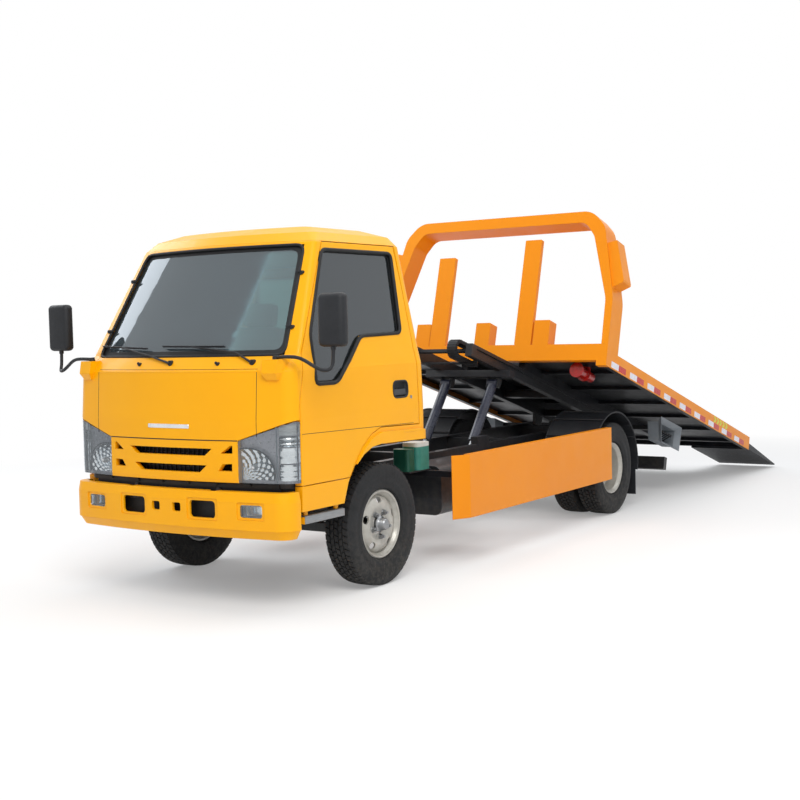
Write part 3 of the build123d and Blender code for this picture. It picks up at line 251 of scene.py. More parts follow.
M = {
    "yellow": finish_material("cab_paint", "F9AF00", "F5A900", rough=0.36, coat=0.1, patch=1.4, grain=900, shine=0.22,
                              bump=0.02, dust="B99A5A", dust_top=0.75, dust_amount=0.12, round_edges=0.006),
    "orange": finish_material("bed_paint", "EE9000", "EA8A00", rough=0.4, coat=0.08, patch=1.1, grain=700, shine=0.22,
                              bump=0.03, dust="C08A4A", dust_top=0.6, dust_amount=0.12, round_edges=0.005,
                              wear="B4763A"),
    "deck": finish_material("deck_paint", "EE9000", "EA8A00", rough=0.42, coat=0.08, patch=1.1, grain=700, shine=0.22,
                            bump=0.03, round_edges=0.004, extra=deck_colour),
    "guard": finish_material("guard_paint", "EE9000", "EA8A00", rough=0.4, coat=0.08, patch=1.1, grain=700, shine=0.22,
                             bump=0.03, dust="C08A4A", dust_top=0.6, dust_amount=0.12, round_edges=0.004,
                             wear="B4763A", extra=guard_colour),
    "black": finish_material("chassis_paint", "14161A", "1D1F24", rough=0.45, coat=0.15, patch=5, dust="5A5348",
                             dust_top=0.9, dust_amount=0.4, round_edges=0.004),
    "plastic": finish_material("black_plastic", "17191D", "202226", rough=0.55, patch=8, grain=500, bump=0.2),
    "trim": finish_material("grey_trim", "3A3C40", "46484C", rough=0.6, patch=8, grain=420, bump=0.25),
    "rubber": finish_material("seal_rubber", "0F1012", "17181A", rough=0.62, patch=12, grain=380, bump=0.15),
    "tyre": finish_material("tyre_rubber", "17181A", "222325", rough=0.75, patch=9, grain=260, bump=0.35,
                            depth=0.001, dust="6C665C", dust_top=0.45, dust_amount=0.35),
    "silver": finish_material("wheel_paint", "B9B7B0", "A8A69F", rough=0.38, coat=0.25, metal=0.35, patch=7,
                              dust="7A7265", dust_top=0.6, dust_amount=0.45, round_edges=0.002),
    "chrome": finish_material("chrome", "E2E4E6", "D2D4D6", rough=0.12, spread=0.06, metal=1.0, patch=12,
                              bump=0.0),
    "steel": finish_material("bare_steel", "9A9C9E", "85878A", rough=0.34, metal=0.9, patch=14, grain=200,
                             bump=0.08, stretch=(1, 1, 12)),
    "grey": finish_material("grey_paint", "7E848A", "8B9197", rough=0.42, patch=6, grain=300, bump=0.05),
    "lamp_shell": finish_material("lamp_housing", "B2AFB6", "A5A2A9", rough=0.3, metal=0.3, patch=9, grain=300,
                                  bump=0.05),
    "pale": finish_material("pale_plastic", "C9CACA", "BEBFC0", rough=0.5, patch=9, grain=300, bump=0.06),
    "navy": finish_material("ram_paint", "232838", "2B3042", rough=0.3, coat=0.4, patch=9, bump=0.03),
    "red": finish_material("red_paint", "B01812", "8E120E", rough=0.35, coat=0.5, patch=11, bump=0.04),
    "cast": finish_material("cast_metal", "34363A", "45474B", rough=0.6, metal=0.4, patch=16, grain=120,
                            bump=0.4, depth=0.0015, dust="5A5348", dust_top=0.9, dust_amount=0.4),
    "seat": finish_material("seat_cloth", "33363B", "3D4046", rough=0.85, patch=20, grain=700, bump=0.6,
                            depth=0.0012),
    "amber": finish_material("amber_lens", "E8760C", "D96A08", rough=0.15, coat=0.8, patch=20, bump=0.1,
                             grain=120),
    "tape_white": finish_material("tape_white", "E8E6EE", "D8D6E2", rough=0.3, patch=30, grain=500, bump=0.25),
    "tape_red": finish_material("tape_red", "C8140A", "B01008", rough=0.3, patch=30, grain=500, bump=0.25),
    "tape_lime": finish_material("tape_lime", "D8D81C", "C6C814", rough=0.35, patch=30, grain=500, bump=0.2),
    "bottle": finish_material("coolant_bottle", "3F8F82", "357F73", rough=0.35, patch=12, grain=200, bump=0.05,
                              extra=bottle_colour),
    "wood_dark": finish_material("exhaust_metal", "4A4642", "6A5F52", rough=0.55, metal=0.7, patch=18,
                                 grain=160, bump=0.3, depth=0.001),
}


def glass_material(name, tint, clear, rough=0.02):
    n = Nodes(name)
    n.tree.nodes.remove(n.shader)
    out = n.tree.nodes["Material Output"]
    see = n.add("ShaderNodeBsdfTransparent", {"Color": tuple(srgb(tint)) + (1,)})
    streak = n.ramp(n.noise(5, 5.0), 0.3, 0.7, rough, rough + 0.03)
    gloss = n.add("ShaderNodeBsdfGlossy", {"Roughness": streak, "Color": (0.9, 0.95, 1.0, 1)})
    film = n.add("ShaderNodeBsdfDiffuse", {"Color": tuple(srgb("9DB0BA")) + (1,)})
    fres = n.add("ShaderNodeFresnel", {"IOR": 1.5}).outputs[0]
    body = n.add("ShaderNodeMixShader", {0: clear, 1: film.outputs[0], 2: see.outputs[0]})
    mix = n.add("ShaderNodeMixShader", {0: n.ramp(fres, 0.0, 1.0, 0.05, 1.0), 1: body.outputs[0],
                                        2: gloss.outputs[0]})
    n.tree.links.new(mix.outputs[0], out.inputs["Surface"])
    return n.mat


M["glass"] = glass_material("window_glass", "B6CFCC", 0.86)
M["door_glass"] = glass_material("side_window_glass", "74807F", 0.97)
M["lens"] = glass_material("lamp_lens", "F4F6F6", 0.94)
M["band"] = glass_material("sun_band", "2F8C86", 0.9)


# Mesh helpers

def link(name, mesh, mat, body, smooth=True):
    obj = bpy.data.objects.new(name, mesh)
    bpy.context.scene.collection.objects.link(obj)
    if not mesh.materials:
        mesh.materials.append(M[mat])
    if smooth:
        for poly in mesh.polygons:
            poly.use_smooth = True
        mesh.set_sharp_from_angle(angle=math.radians(35))
    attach(obj, body)
    return obj


def mesh_piece(name, verts, faces, mat, body, smooth=True):
    mesh = bpy.data.meshes.new(name)
    mesh.from_pydata([tuple(v) for v in verts], [], faces)
    mesh.validate()
    bm = bmesh.new()
    bm.from_mesh(mesh)
    bmesh.ops.recalc_face_normals(bm, faces=bm.faces)
    bm.to_mesh(mesh)
    bm.free()
    return link(name, mesh, mat, body, smooth)


def from_bm(name, bm, mat, body, smooth=True):
    mesh = bpy.data.meshes.new(name)
    bmesh.ops.recalc_face_normals(bm, faces=bm.faces)
    bm.to_mesh(mesh)
    bm.free()
    return link(name, mesh, mat, body, smooth)


def add_box(bm, centre, size, turn=None, bevel=0.0, segments=2):
    # centre in metres, size in metres, turn a 3x3 or 4x4 matrix
    made = bmesh.ops.create_cube(bm, size=1.0)
    verts = made["verts"]
    matrix = Matrix.Translation(centre) @ (turn.to_4x4() if turn else Matrix.Identity(4))
    matrix = matrix @ Matrix.Diagonal((size[0], size[1], size[2], 1))
    bmesh.ops.transform(bm, matrix=matrix, verts=verts)
    if bevel:
        edges = list({e for v in verts for e in v.link_edges})
        bmesh.ops.bevel(bm, geom=edges, offset=bevel, segments=segments, affect="EDGES", profile=0.5,
                        clamp_overlap=True)


def add_rod(bm, start, end, radius, end_radius=None, sides=20, cap=True):
    start, end = Vector(start), Vector(end)
    axis = end - start
    turn = axis.to_track_quat("Z", "Y").to_matrix().to_4x4()
    bmesh.ops.create_cone(bm, cap_ends=cap, segments=sides, radius1=radius,
                          radius2=radius if end_radius is None else end_radius, depth=axis.length,
                          matrix=Matrix.Translation((start + end) / 2) @ turn)


def add_ball(bm, centre, radius, squash=(1, 1, 1)):
    bmesh.ops.create_uvsphere(bm, u_segments=16, v_segments=10, radius=radius,
                              matrix=Matrix.Translation(centre) @ Matrix.Diagonal(tuple(squash) + (1,)))


def tube(name, points, radius, mat, body, cyclic=False, order=2, depth_scale=None):
    curve = bpy.data.curves.new(name, "CURVE")
    curve.dimensions = "3D"
    curve.bevel_depth = radius
    curve.bevel_resolution = 4
    spline = curve.splines.new("NURBS" if order > 2 else "POLY")
    spline.points.add(len(points) - 1)
    for point, place in zip(spline.points, points):
        point.co = tuple(place) + (1,)
    spline.use_cyclic_u = cyclic
    if order > 2:
        spline.order_u = order
        spline.use_endpoint_u = not cyclic
    curve.use_fill_caps = True
    obj = bpy.data.objects.new(name, curve)
    bpy.context.scene.collection.objects.link(obj)
    curve.materials.append(M[mat])
    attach(obj, body)
    return obj


def rounded(points, radius, steps=5, closed=True):
    # 2-D outline with its corners rounded
    out = []
    count = len(points)
    for i in range(count):
        here = Vector(points[i])
        if not closed and i in (0, count - 1):
            out.append(tuple(here))
            continue
        a, b = Vector(points[i - 1]), Vector(points[(i + 1) % count])
        r = min(radius, (a - here).length * 0.45, (b - here).length * 0.45)
        start = here + (a - here).normalized() * r
        end = here + (b - here).normalized() * r
        for k in range(steps + 1):
            t = k / steps
            out.append(tuple(start * (1 - t) ** 2 + here * 2 * t * (1 - t) + end * t ** 2))
    return out


def divide(points, step, closed=True):
    # extra points so that an outline follows a curved surface
    out = []
    pairs = list(zip(points, points[1:] + points[:1] if closed else points[1:]))
    for a, b in pairs:
        a, b = Vector(a), Vector(b)
        count = max(1, int((b - a).length / step))
        for k in range(count):
            out.append(tuple(a + (b - a) * k / count))
    if not closed:
        out.append(tuple(points[-1]))
    return out


def ring_mesh(name, outer, inner, mat, body):
    count = len(outer)
    faces = [(i, (i + 1) % count, count + (i + 1) % count, count + i) for i in range(count)]
    return mesh_piece(name, list(outer) + list(inner), faces, mat, body)


def lathe_bm(bm, profile, centre, axis_x=1, segments=64):
    # profile is (x, r) in mm from the centre; a closed loop turned about X
    rings = []
    for k in range(segments):
        a = 2 * math.pi * k / segments
        rings.append([bm.verts.new(truck(centre[0] + axis_x * px, centre[1] + pr * math.cos(a),
                                         centre[2] + pr * math.sin(a))) for px, pr in profile])
    count = len(profile)
    for k in range(segments):
        here, there = rings[k], rings[(k + 1) % segments]
        for i in range(count):
            j = (i + 1) % count
            corners = [here[i], here[j], there[j], there[i]]
            bm.faces.new(corners)
    bmesh.ops.remove_doubles(bm, verts=bm.verts, dist=0.00002)


def grid_mesh(name, point, u_range, v_range, nu, nv, mat, body):
    verts = []
    for j in range(nv + 1):
        for i in range(nu + 1):
            u = u_range[0] + (u_range[1] - u_range[0]) * i / nu
            v = v_range[0] + (v_range[1] - v_range[0]) * j / nv
            verts.append(point(u, v))
    faces = [(j * (nu + 1) + i, j * (nu + 1) + i + 1, (j + 1) * (nu + 1) + i + 1, (j + 1) * (nu + 1) + i)
             for j in range(nv) for i in range(nu)]
    return mesh_piece(name, verts, faces, mat, body)


# Carried-over CAD pieces and their materials
NODE_MATERIAL = {
    "yellow": ["cab_roof", "cab_back_wall", "cab_side_frames", "cab_front_panel", "grille", "door_left",
               "door_right", "front_bumper"],
    "glass": ["cab_glass"],
    "door_glass": ["door_glass_left", "door_glass_right"],
    "trim": ["cab_floor", "dashboard"],
    "plastic": ["steering_wheel", "rear_fenders", "battery_box", "hose_chain"],
    "black": ["chassis_frame", "front_axle", "rear_axle", "leaf_springs", "radiator", "tilt_frame",
              "knuckle_left", "knuckle_right", "drive_shaft", "fuel_tank"],
    "cast": ["engine_block"],
    "wood_dark": ["muffler"],
    "bottle": ["coolant_bottles"],
    "orange": ["bed_front_beam", "bed_hoop"],
    "guard": ["side_guards"],
    "deck": ["bed_deck"],
    "silver": ["rear_rims_left", "rear_rims_right"],
    "grey": ["lever_boxes"],
    "navy": ["ram_barrels"],
    "steel": ["ram_rods"],
    "red": ["winch"],
    "cast_flap": ["tail_flaps"],
    "lens": ["fog_lamps"],
}
M["cast_flap"] = finish_material("flap_steel", "24262A", "34363A", rough=0.5, metal=0.5, patch=10, grain=180,
                                 bump=0.3, depth=0.001, wear="8A8C90")
for key, names in NODE_MATERIAL.items():
    for node in names:
        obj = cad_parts[node]
        obj.data.materials.clear()
        obj.data.materials.append(M[key])


# Windscreen: rubber, dark border and sun band
SCREEN = [(-750, 1474), (750, 1474), (644, 2126), (-644, 2126)]


def grown(points, amount):
    cx = sum(p[0] for p in points) / len(points)
    cz = sum(p[1] for p in points) / len(points)
    return [(x + math.copysign(amount, x - cx), z + math.copysign(amount, z - cz)) for x, z in points]


outline = divide(rounded(SCREEN, 55), 60)
tube("windscreen_rubber", [front(x, z, 3) for x, z in outline], 0.009, "rubber", "cab", True)
border_out = divide(rounded(grown(SCREEN, 2), 55), 60)
scale_x, scale_z = 0.945, 0.9
mid_z = 1800
border_in = [(x * scale_x, mid_z + (z - mid_z) * scale_z) for x, z in border_out]
ring_mesh("windscreen_border", [front(x, z, 14.5) for x, z in border_out],
          [front(x, z, 14.5) for x, z in border_in], "rubber", "cab")
grid_mesh("windscreen_sun_band", lambda u, v: front(u * (750 - (v - 1474) * 106 / 652), v, 24),
          (-0.97, 0.97), (1985, 2118), 24, 4, "band", "cab")

# Rear window rubber
rear_outline = divide(rounded([(-560, 1500), (560, 1500), (520, 1980), (-520, 1980)], 50), 90)
tube("rear_window_rubber", [truck(x, 500 if z < 1500 else 500 - (z - 1481) * 12 / 661, z)
                            for x, z in rear_outline], 0.012, "rubber", "cab", True)

# Door window rubber
WINDOW = [(-690, 1300), (-478, 1300), (-165, 1570), (285, 1582), (345, 2096), (-398, 2096), (-668, 1590)]
for name, sign in (("left", 1), ("right", -1)):
    edge = divide(rounded(WINDOW, 42), 120)
    body = "door_" + name
    tube("window_rubber_" + name, [side(sign, y, z, 2) for y, z in edge], 0.012, "rubber", body,
         True)
    cy = sum(y for y, z in edge) / len(edge)
    cz = sum(z for y, z in edge) / len(edge)
    inner = [(cy + (y - cy) * 0.955, cz + (z - cz) * 0.955) for y, z in edge]
    ring_mesh("window_channel_" + name, [side(sign, y, z, 13) for y, z in edge],
              [side(sign, y, z, 14) for y, z in inner], "rubber", body)

# Wipers, washer jets and corner clips
bm = bmesh.new()
for px, elbow_x, elbow_z, x0, x1, z0, z1 in ((-5, -213, 1486, -745, -255, 1541, 1524),
                                             (582, 457, 1494, -117, 360, 1535, 1528)):
    hub = front(px, 1436, -12)
    elbow = front(elbow_x, elbow_z, -24)
    tip = front((x0 + x1) / 2, (z0 + z1) / 2, -18)
    add_rod(bm, front(px, 1436, 12), hub, 0.017, sides=20)
    add_rod(bm, hub, elbow, 0.0075, 0.006, sides=10)
    add_rod(bm, elbow, tip, 0.006, 0.0045, sides=10)
    blade = [front(x0 + (x1 - x0) * k / 8, z0 + (z1 - z0) * k / 8, -6) for k in range(9)]
    for a, b in zip(blade, blade[1:]):
        add_rod(bm, a, b, 0.005, sides=8)
        add_rod(bm, a + Vector((0, -0.01, 0.004)), b + Vector((0, -0.01, 0.004)), 0.003, sides=6)
from_bm("wipers", bm, "plastic", "cab")
bm = bmesh.new()
for px in (-266, 352):
    add_rod(bm, front(px, 1428, 6), front(px, 1428, -9), 0.013, 0.009)
    add_ball(bm, front(px - 8, 1436, -12), 0.009)
from_bm("washer_jets", bm, "plastic", "cab")
bm = bmesh.new()
for z in (1960, 1640):
    for sign in (1, -1):
        x = 750 - (z - 1474) * 106 / 652 + 12
        add_box(bm, front(sign * (x - 14), z, -8), (0.036, 0.012, 0.012), bevel=0.003)
        add_rod(bm, front(sign * (x + 8), z - 6, 8), front(sign * (x + 8), z - 6, -12), 0.012)
from_bm("pillar_clips", bm, "plastic", "cab")

# Front panel: lid seams and ridge
for sign, name in ((1, "left"), (-1, "right")):
    seam = [front(sign * 638, z, 1) for z in range(1010, 1386, 25)]
    tube("lid_seam_" + name, seam, 0.0022, "rubber", "cab")
tube("lid_ridge", [front(x, 1385, 5) for x in range(-640, 641, 40)], 0.008, "yellow", "cab")
tube("lid_top_seam", [front(x, 1398, 1) for x in range(-638, 639, 44)], 0.0018, "rubber", "cab")
tube("grille_seam", [front(x, 987, 0.5) for x in range(-510, 511, 30)], 0.003, "rubber", "cab")
badge = grid_mesh("front_trim_bar", lambda u, v: front(u, v, -4), (-165, 165), (1052, 1078), 12, 2, "chrome",
                  "cab")
solid = badge.modifiers.new("thick", "SOLIDIFY")
solid.thickness = 0.007
bev = badge.modifiers.new("soft", "BEVEL")
bev.width = 0.003

# Radiator mesh behind the grille, and a near-black sheet behind it as painted shade
bm = bmesh.new()
for k in range(27):
    add_box(bm, front(-468 + k * 36, 868, 60), (0.004, 0.012, 0.2))
for z in (780, 820, 900, 945):
    for k in range(8):
        add_box(bm, front(-420 + k * 120, z, 66), (0.125, 0.008, 0.008))
from_bm("radiator_bars", bm, "plastic", "cab", False)
# near-black sheet painted as the shade inside the grille
grid_mesh("radiator_painted_shade_sheet", lambda u, v: front(u, v, 84), (-500, 500), (746, 985), 16, 2, "rubber", "cab")

# Headlamps
LAMP_LOW, LAMP_IN = 746, 510


def lamp_top(t):
    return 986 + (t - LAMP_IN) * (1116 - 988) / (900 - 512) * 0.93


for sign, name in ((1, "left"), (-1, "right")):
    lamp = []

    def lamp_point(u, v, depth):
        z0 = LAMP_LOW
        end = skin_end(900, DOOR_FRONT_Y - 2)
        t = LAMP_IN + (end - LAMP_IN) * u
        z = z0 + (min(lamp_top(t), 1098) - 2 - z0) * v
        return skin(sign * t, z, depth)

    shell = grid_mesh("headlamp_back_" + name, lambda u, v: lamp_point(u, v, 34), (0, 1), (0, 1), 24, 6,
                      "lamp_shell", "cab")
    cover = grid_mesh("headlamp_cover_" + name, lambda u, v: lamp_point(u, v, 1.0), (0, 1), (0, 1), 28, 8,
                      "lens", "cab")
    # side walls
    walls = []
    for fixed, along in ((0.0, "v"), (1.0, "v"), (0.0, "u"), (1.0, "u")):
        rows = []
        for k in range(17):
            q = k / 16
            u, v = (fixed, q) if along == "v" else (q, fixed)
            rows.append((lamp_point(u, v, 1.5), lamp_point(u, v, 34)))
        walls.append(rows)
    bm = bmesh.new()
    for rows in walls:
        made = [(bm.verts.new(a), bm.verts.new(b)) for a, b in rows]
        for (a, b), (c, d) in zip(made, made[1:]):
            bm.faces.new((a, b, d, c))
    from_bm("headlamp_rim_" + name, bm, "chrome", "cab")

    # reflector: a quarter-round bowl
    def bowl(u, v):
        angle = u * math.pi / 2
        reach = v
        x = 522 + reach * 216 * math.sin(angle) * (1 + 0.12 * math.sin(2 * angle))
        z = 762 + reach * 174 * math.cos(angle) * (1 + 0.12 * math.sin(2 * angle))
        facet = 1.6 * (1 if int(reach * 9) % 2 else -1) * (1 if int(u * 12) % 2 else -1)
        depth = 30 - 22 * max(0.0, reach - 0.25) ** 1.5 + facet
        return skin(sign * x, z, depth)

    grid_mesh("headlamp_bowl_" + name, bowl, (0, 1), (0.02, 1), 36, 27, "chrome", "cab")
    bm = bmesh.new()
    add_ball(bm, skin(sign * 610, 835, 14), 0.016)
    add_rod(bm, skin(sign * 610, 835, 32), skin(sign * 610, 835, 16), 0.022, 0.014)
    from_bm("headlamp_bulb_" + name, bm, "pale", "cab")
    edge = []
    for k in range(19):
        angle = k / 18 * math.pi / 2
        bulge = 1 + 0.12 * math.sin(2 * angle)
        edge.append(skin(sign * (522 + 222 * math.sin(angle) * bulge), 762 + 180 * math.cos(angle) * bulge, 7))
    tube("headlamp_arc_" + name, edge, 0.004, "plastic", "cab")
    # indicator column: pale ridged windows and round reflectors
    end = skin_end(900, DOOR_FRONT_Y - 6)
    start = 766
    for low, high, ridges, mat in ((1020, 1082, 3, "pale"), (955, 1012, 4, "chrome"), (860, 948, 2, "chrome"),
                                   (760, 852, 3, "chrome")):
        def column(u, v, low=low, high=high, ridges=ridges):
            wave = abs((v * ridges) % 1.0 - 0.5)
            round_part = 8 * math.cos((u - 0.5) * math.pi)
            return skin(sign * (start + 8 + (end - start - 12) * u), low + (high - low) * v,
                        24 - 8 * wave - round_part * 0.5)
        grid_mesh("indicator_%s_%d" % (name, low), column, (0, 1), (0, 1), 16, 18, mat, "cab")
    tube("indicator_edge_" + name, [skin(sign * start, z, 8) for z in (750, 850, 950, 1040, 1075)], 0.004,
         "grey", "cab")
    bm = bmesh.new()
    for k in range(4):
        add_ball(bm, skin(sign * (540 + 55 * k), 958 + 8 * k, 22), 0.004)
    from_bm("headlamp_rivets_" + name, bm, "pale", "cab")
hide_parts("headlamps")

# Dark filler between the grille and the bumper
bm = bmesh.new()
for low, depth in ((700, 66), (722, 52)):
    strip = [front(-740 + 37 * k, 745, depth) for k in range(41)]
    for a, b in zip(strip, strip[1:]):
        middle = (a + b) / 2
        middle.z = low / 1000
        turn = Matrix.Rotation(math.atan2(b.y - a.y, b.x - a.x), 3, "Z")
        add_box(bm, middle, ((b - a).length + 0.002, 0.03, 0.024), turn)
for x in (-560, -300, -90, 120, 330, 560):
    add_ball(bm, front(x, 728, 34), 0.009)
from_bm("lower_grille_filler", bm, "plastic", "chassis")

# Near-black sheet behind the bumper's openings, painted shade for the dark space behind them
grid_mesh("bumper_opening_painted_shade", lambda u, v: truck(u, -992 + 71 * (u / 868) ** 2, v), (-800, 800), (505, 675), 24, 2,
          "rubber", "chassis")

# Fog lamps: reflector behind each lens
for sign, name in ((1, "left"), (-1, "right")):
    bm = bmesh.new()
    centre = truck(sign * 620, -962, 588)
    add_box(bm, centre, (0.13, 0.03, 0.062), bevel=0.008)
    from_bm("fog_reflector_" + name, bm, "chrome", "chassis")


# Mirrors, with their arms, replace the plain ones
for sign, name in ((1, "left"), (-1, "right")):
    bm = bmesh.new()
    add_box(bm, truck(sign * 1100, -830, 1667), (0.178, 0.07, 0.3), bevel=0.03, segments=5)
    for v in bm.verts:
        away = (v.co.z - truck(0, 0, 1667).z) / 0.15
        v.co.y += 0.006 * away * away * (1 if v.co.y > truck(0, -830, 0).y else -0.2)
    head = from_bm("mirror_head_" + name, bm, "plastic", "cab")
    path = [(742, -902, 1463), (830, -903, 1466), (905, -900, 1468), (975, -886, 1425), (1040, -878, 1388),
            (1088, -858, 1386), (1099, -838, 1410), (1100, -832, 1460), (1100, -832, 1530)]
    tube("mirror_arm_" + name, [truck(sign * x, y, z) for x, y, z in path], 0.0105, "plastic", "cab",
         order=4)
    bm = bmesh.new()
    add_rod(bm, truck(sign * 742, -900, 1446), truck(sign * 742, -902, 1474), 0.02, 0.016)
    add_rod(bm, truck(sign * 1100, -832, 1500), truck(sign * 1100, -832, 1526), 0.015)
    from_bm("mirror_joint_" + name, bm, "plastic", "cab")
    glass = grid_mesh("mirror_glass_" + name, lambda u, v: truck(sign * (1100 + 74 * u), -792.5 - 2 * u * u, 1667 + 130 * v),
                      (-1, 1), (-1, 1), 8, 8, "chrome", "cab")
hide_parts("mirrors")

# Door handles, keyholes and painted shadow lines along the door creases
for sign, name in ((1, "left"), (-1, "right")):
    body = "door_" + name
    edge = rounded([(110, 1174), (276, 1174), (276, 1278), (110, 1278)], 40, 6)
    tube("handle_rim_" + name, [side(sign, y, z, 1) for y, z in edge], 0.006, "plastic", body,
         True)
    cup = [side(sign, 193 + (y - 193) * k, 1226 + (z - 1226) * k, d) for k, d in
           ((1.0, 2), (0.86, 20), (0.5, 27), (0.02, 28)) for y, z in edge]
    count = len(edge)
    faces = [(r * count + i, r * count + (i + 1) % count, (r + 1) * count + (i + 1) % count, (r + 1) * count + i)
             for r in range(3) for i in range(count)]
    mesh_piece("handle_cup_" + name, cup, faces, "plastic", body)
    bm = bmesh.new()
    add_box(bm, side(sign, 193, 1206, 12), (0.012, 0.138, 0.04), bevel=0.005, segments=3)
    from_bm("handle_paddle_" + name, bm, "trim", body)
    bm = bmesh.new()
    add_rod(bm, side(sign, 310, 1170, 4), side(sign, 310, 1170, -3), 0.011)
    from_bm("door_key_" + name, bm, "steel", body)
    # the near-black lines along the door creases are painted shadow
    painted_crease_shadow = [side(sign, y, 1022 - (y + 846) * 22 / 1241, 0.5) for y in range(-840, 391, 90)]
    tube("door_crease_painted_shadow_" + name, painted_crease_shadow, 0.0016, "rubber", body)

# Light strip over each step
for sign, name in ((1, "left"), (-1, "right")):
    bm = bmesh.new()
    add_box(bm, truck(sign * 829, -637, 546), (0.072, 0.385, 0.006), bevel=0.002)
    add_box(bm, truck(sign * 864, -637, 525), (0.004, 0.385, 0.04), bevel=0.0015)
    for k in range(16):
        add_box(bm, truck(sign * 829, -818 + 24 * k, 550), (0.06, 0.008, 0.004), bevel=0.001)
    from_bm("step_plate_" + name, bm, "steel", "cab")


# Tyres: the tread and side rings replace the plain tyres
def tyre_piece(name, centres, body, node):
    bm = bmesh.new()
    half = TYRE_W / 2
    for cx, cy in centres:
        profile = [(-half * 0.62, RIM_R + 2), (-half * 0.86, RIM_R + 14), (-half * 0.95, RIM_R + 40),
                   (-half * 0.985, RIM_R + 62), (-half * 0.965, RIM_R + 66), (-half, RIM_R + 90),
                   (-half * 0.985, RIM_R + 118), (-half * 0.95, TYRE_R - 36), (-half * 0.93, TYRE_R - 30),
                   (-half * 0.86, TYRE_R - 14), (-half * 0.8, TYRE_R - 10), (half * 0.8, TYRE_R - 10),
                   (half * 0.86, TYRE_R - 14), (half * 0.93, TYRE_R - 30), (half * 0.95, TYRE_R - 36),
                   (half * 0.985, RIM_R + 118), (half, RIM_R + 90), (half * 0.965, RIM_R + 66),
                   (half * 0.985, RIM_R + 62), (half * 0.95, RIM_R + 40), (half * 0.86, RIM_R + 14),
                   (half * 0.62, RIM_R + 2)]
        lathe_bm(bm, profile, (cx, cy, TYRE_R), segments=96)
        # ribs: centre offset, width, how far each block steps round, blocks
        for offset, width, skew in ((-66, 34, 0.35), (-31, 24, -0.3), (0, 26, 0.3), (31, 24, -0.3), (66, 34, 0.35)):
            blocks = 56
            for k in range(blocks):
                a = 2 * math.pi * (k + (0.5 if offset in (-31, 31) else 0)) / blocks
                span = 2 * math.pi / blocks * 0.8
                ring = []
                for du, da in ((-0.5, -0.5), (0.5, -0.5), (0.5, 0.5), (-0.5, 0.5)):
                    x = offset + width * du
                    angle = a + span * (da + skew * du)
                    drop = 6 * max(0.0, abs(x) / half - 0.6) / 0.4
                    low = truck(cx + x, cy + (TYRE_R - 15) * math.cos(angle), TYRE_R + (TYRE_R - 15) * math.sin(angle))
                    radius = TYRE_R - 0.5 - drop
                    high = truck(cx + x * 0.99, cy + radius * math.cos(angle), TYRE_R + radius * math.sin(angle))
                    ring.append((bm.verts.new(low), bm.verts.new(high)))
                bm.faces.new([v[1] for v in ring])
                for (a0, b0), (a1, b1) in zip(ring, ring[1:] + ring[:1]):
                    bm.faces.new((a0, a1, b1, b0))
    obj = from_bm(name, bm, "tyre", body)
    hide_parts(node)
    return obj


for sign, name in ((1, "left"), (-1, "right")):
    tyre_piece("front_tread_" + name, [(sign * FRONT_X, 0)], "front_wheel_" + name, "front_tyre_" + name)
    tyre_piece("rear_tread_" + name, [(sign * (REAR_X - DUAL / 2), WHEELBASE), (sign * (REAR_X + DUAL / 2), WHEELBASE)],
               "rear_wheels_" + name, "rear_tyres_" + name)

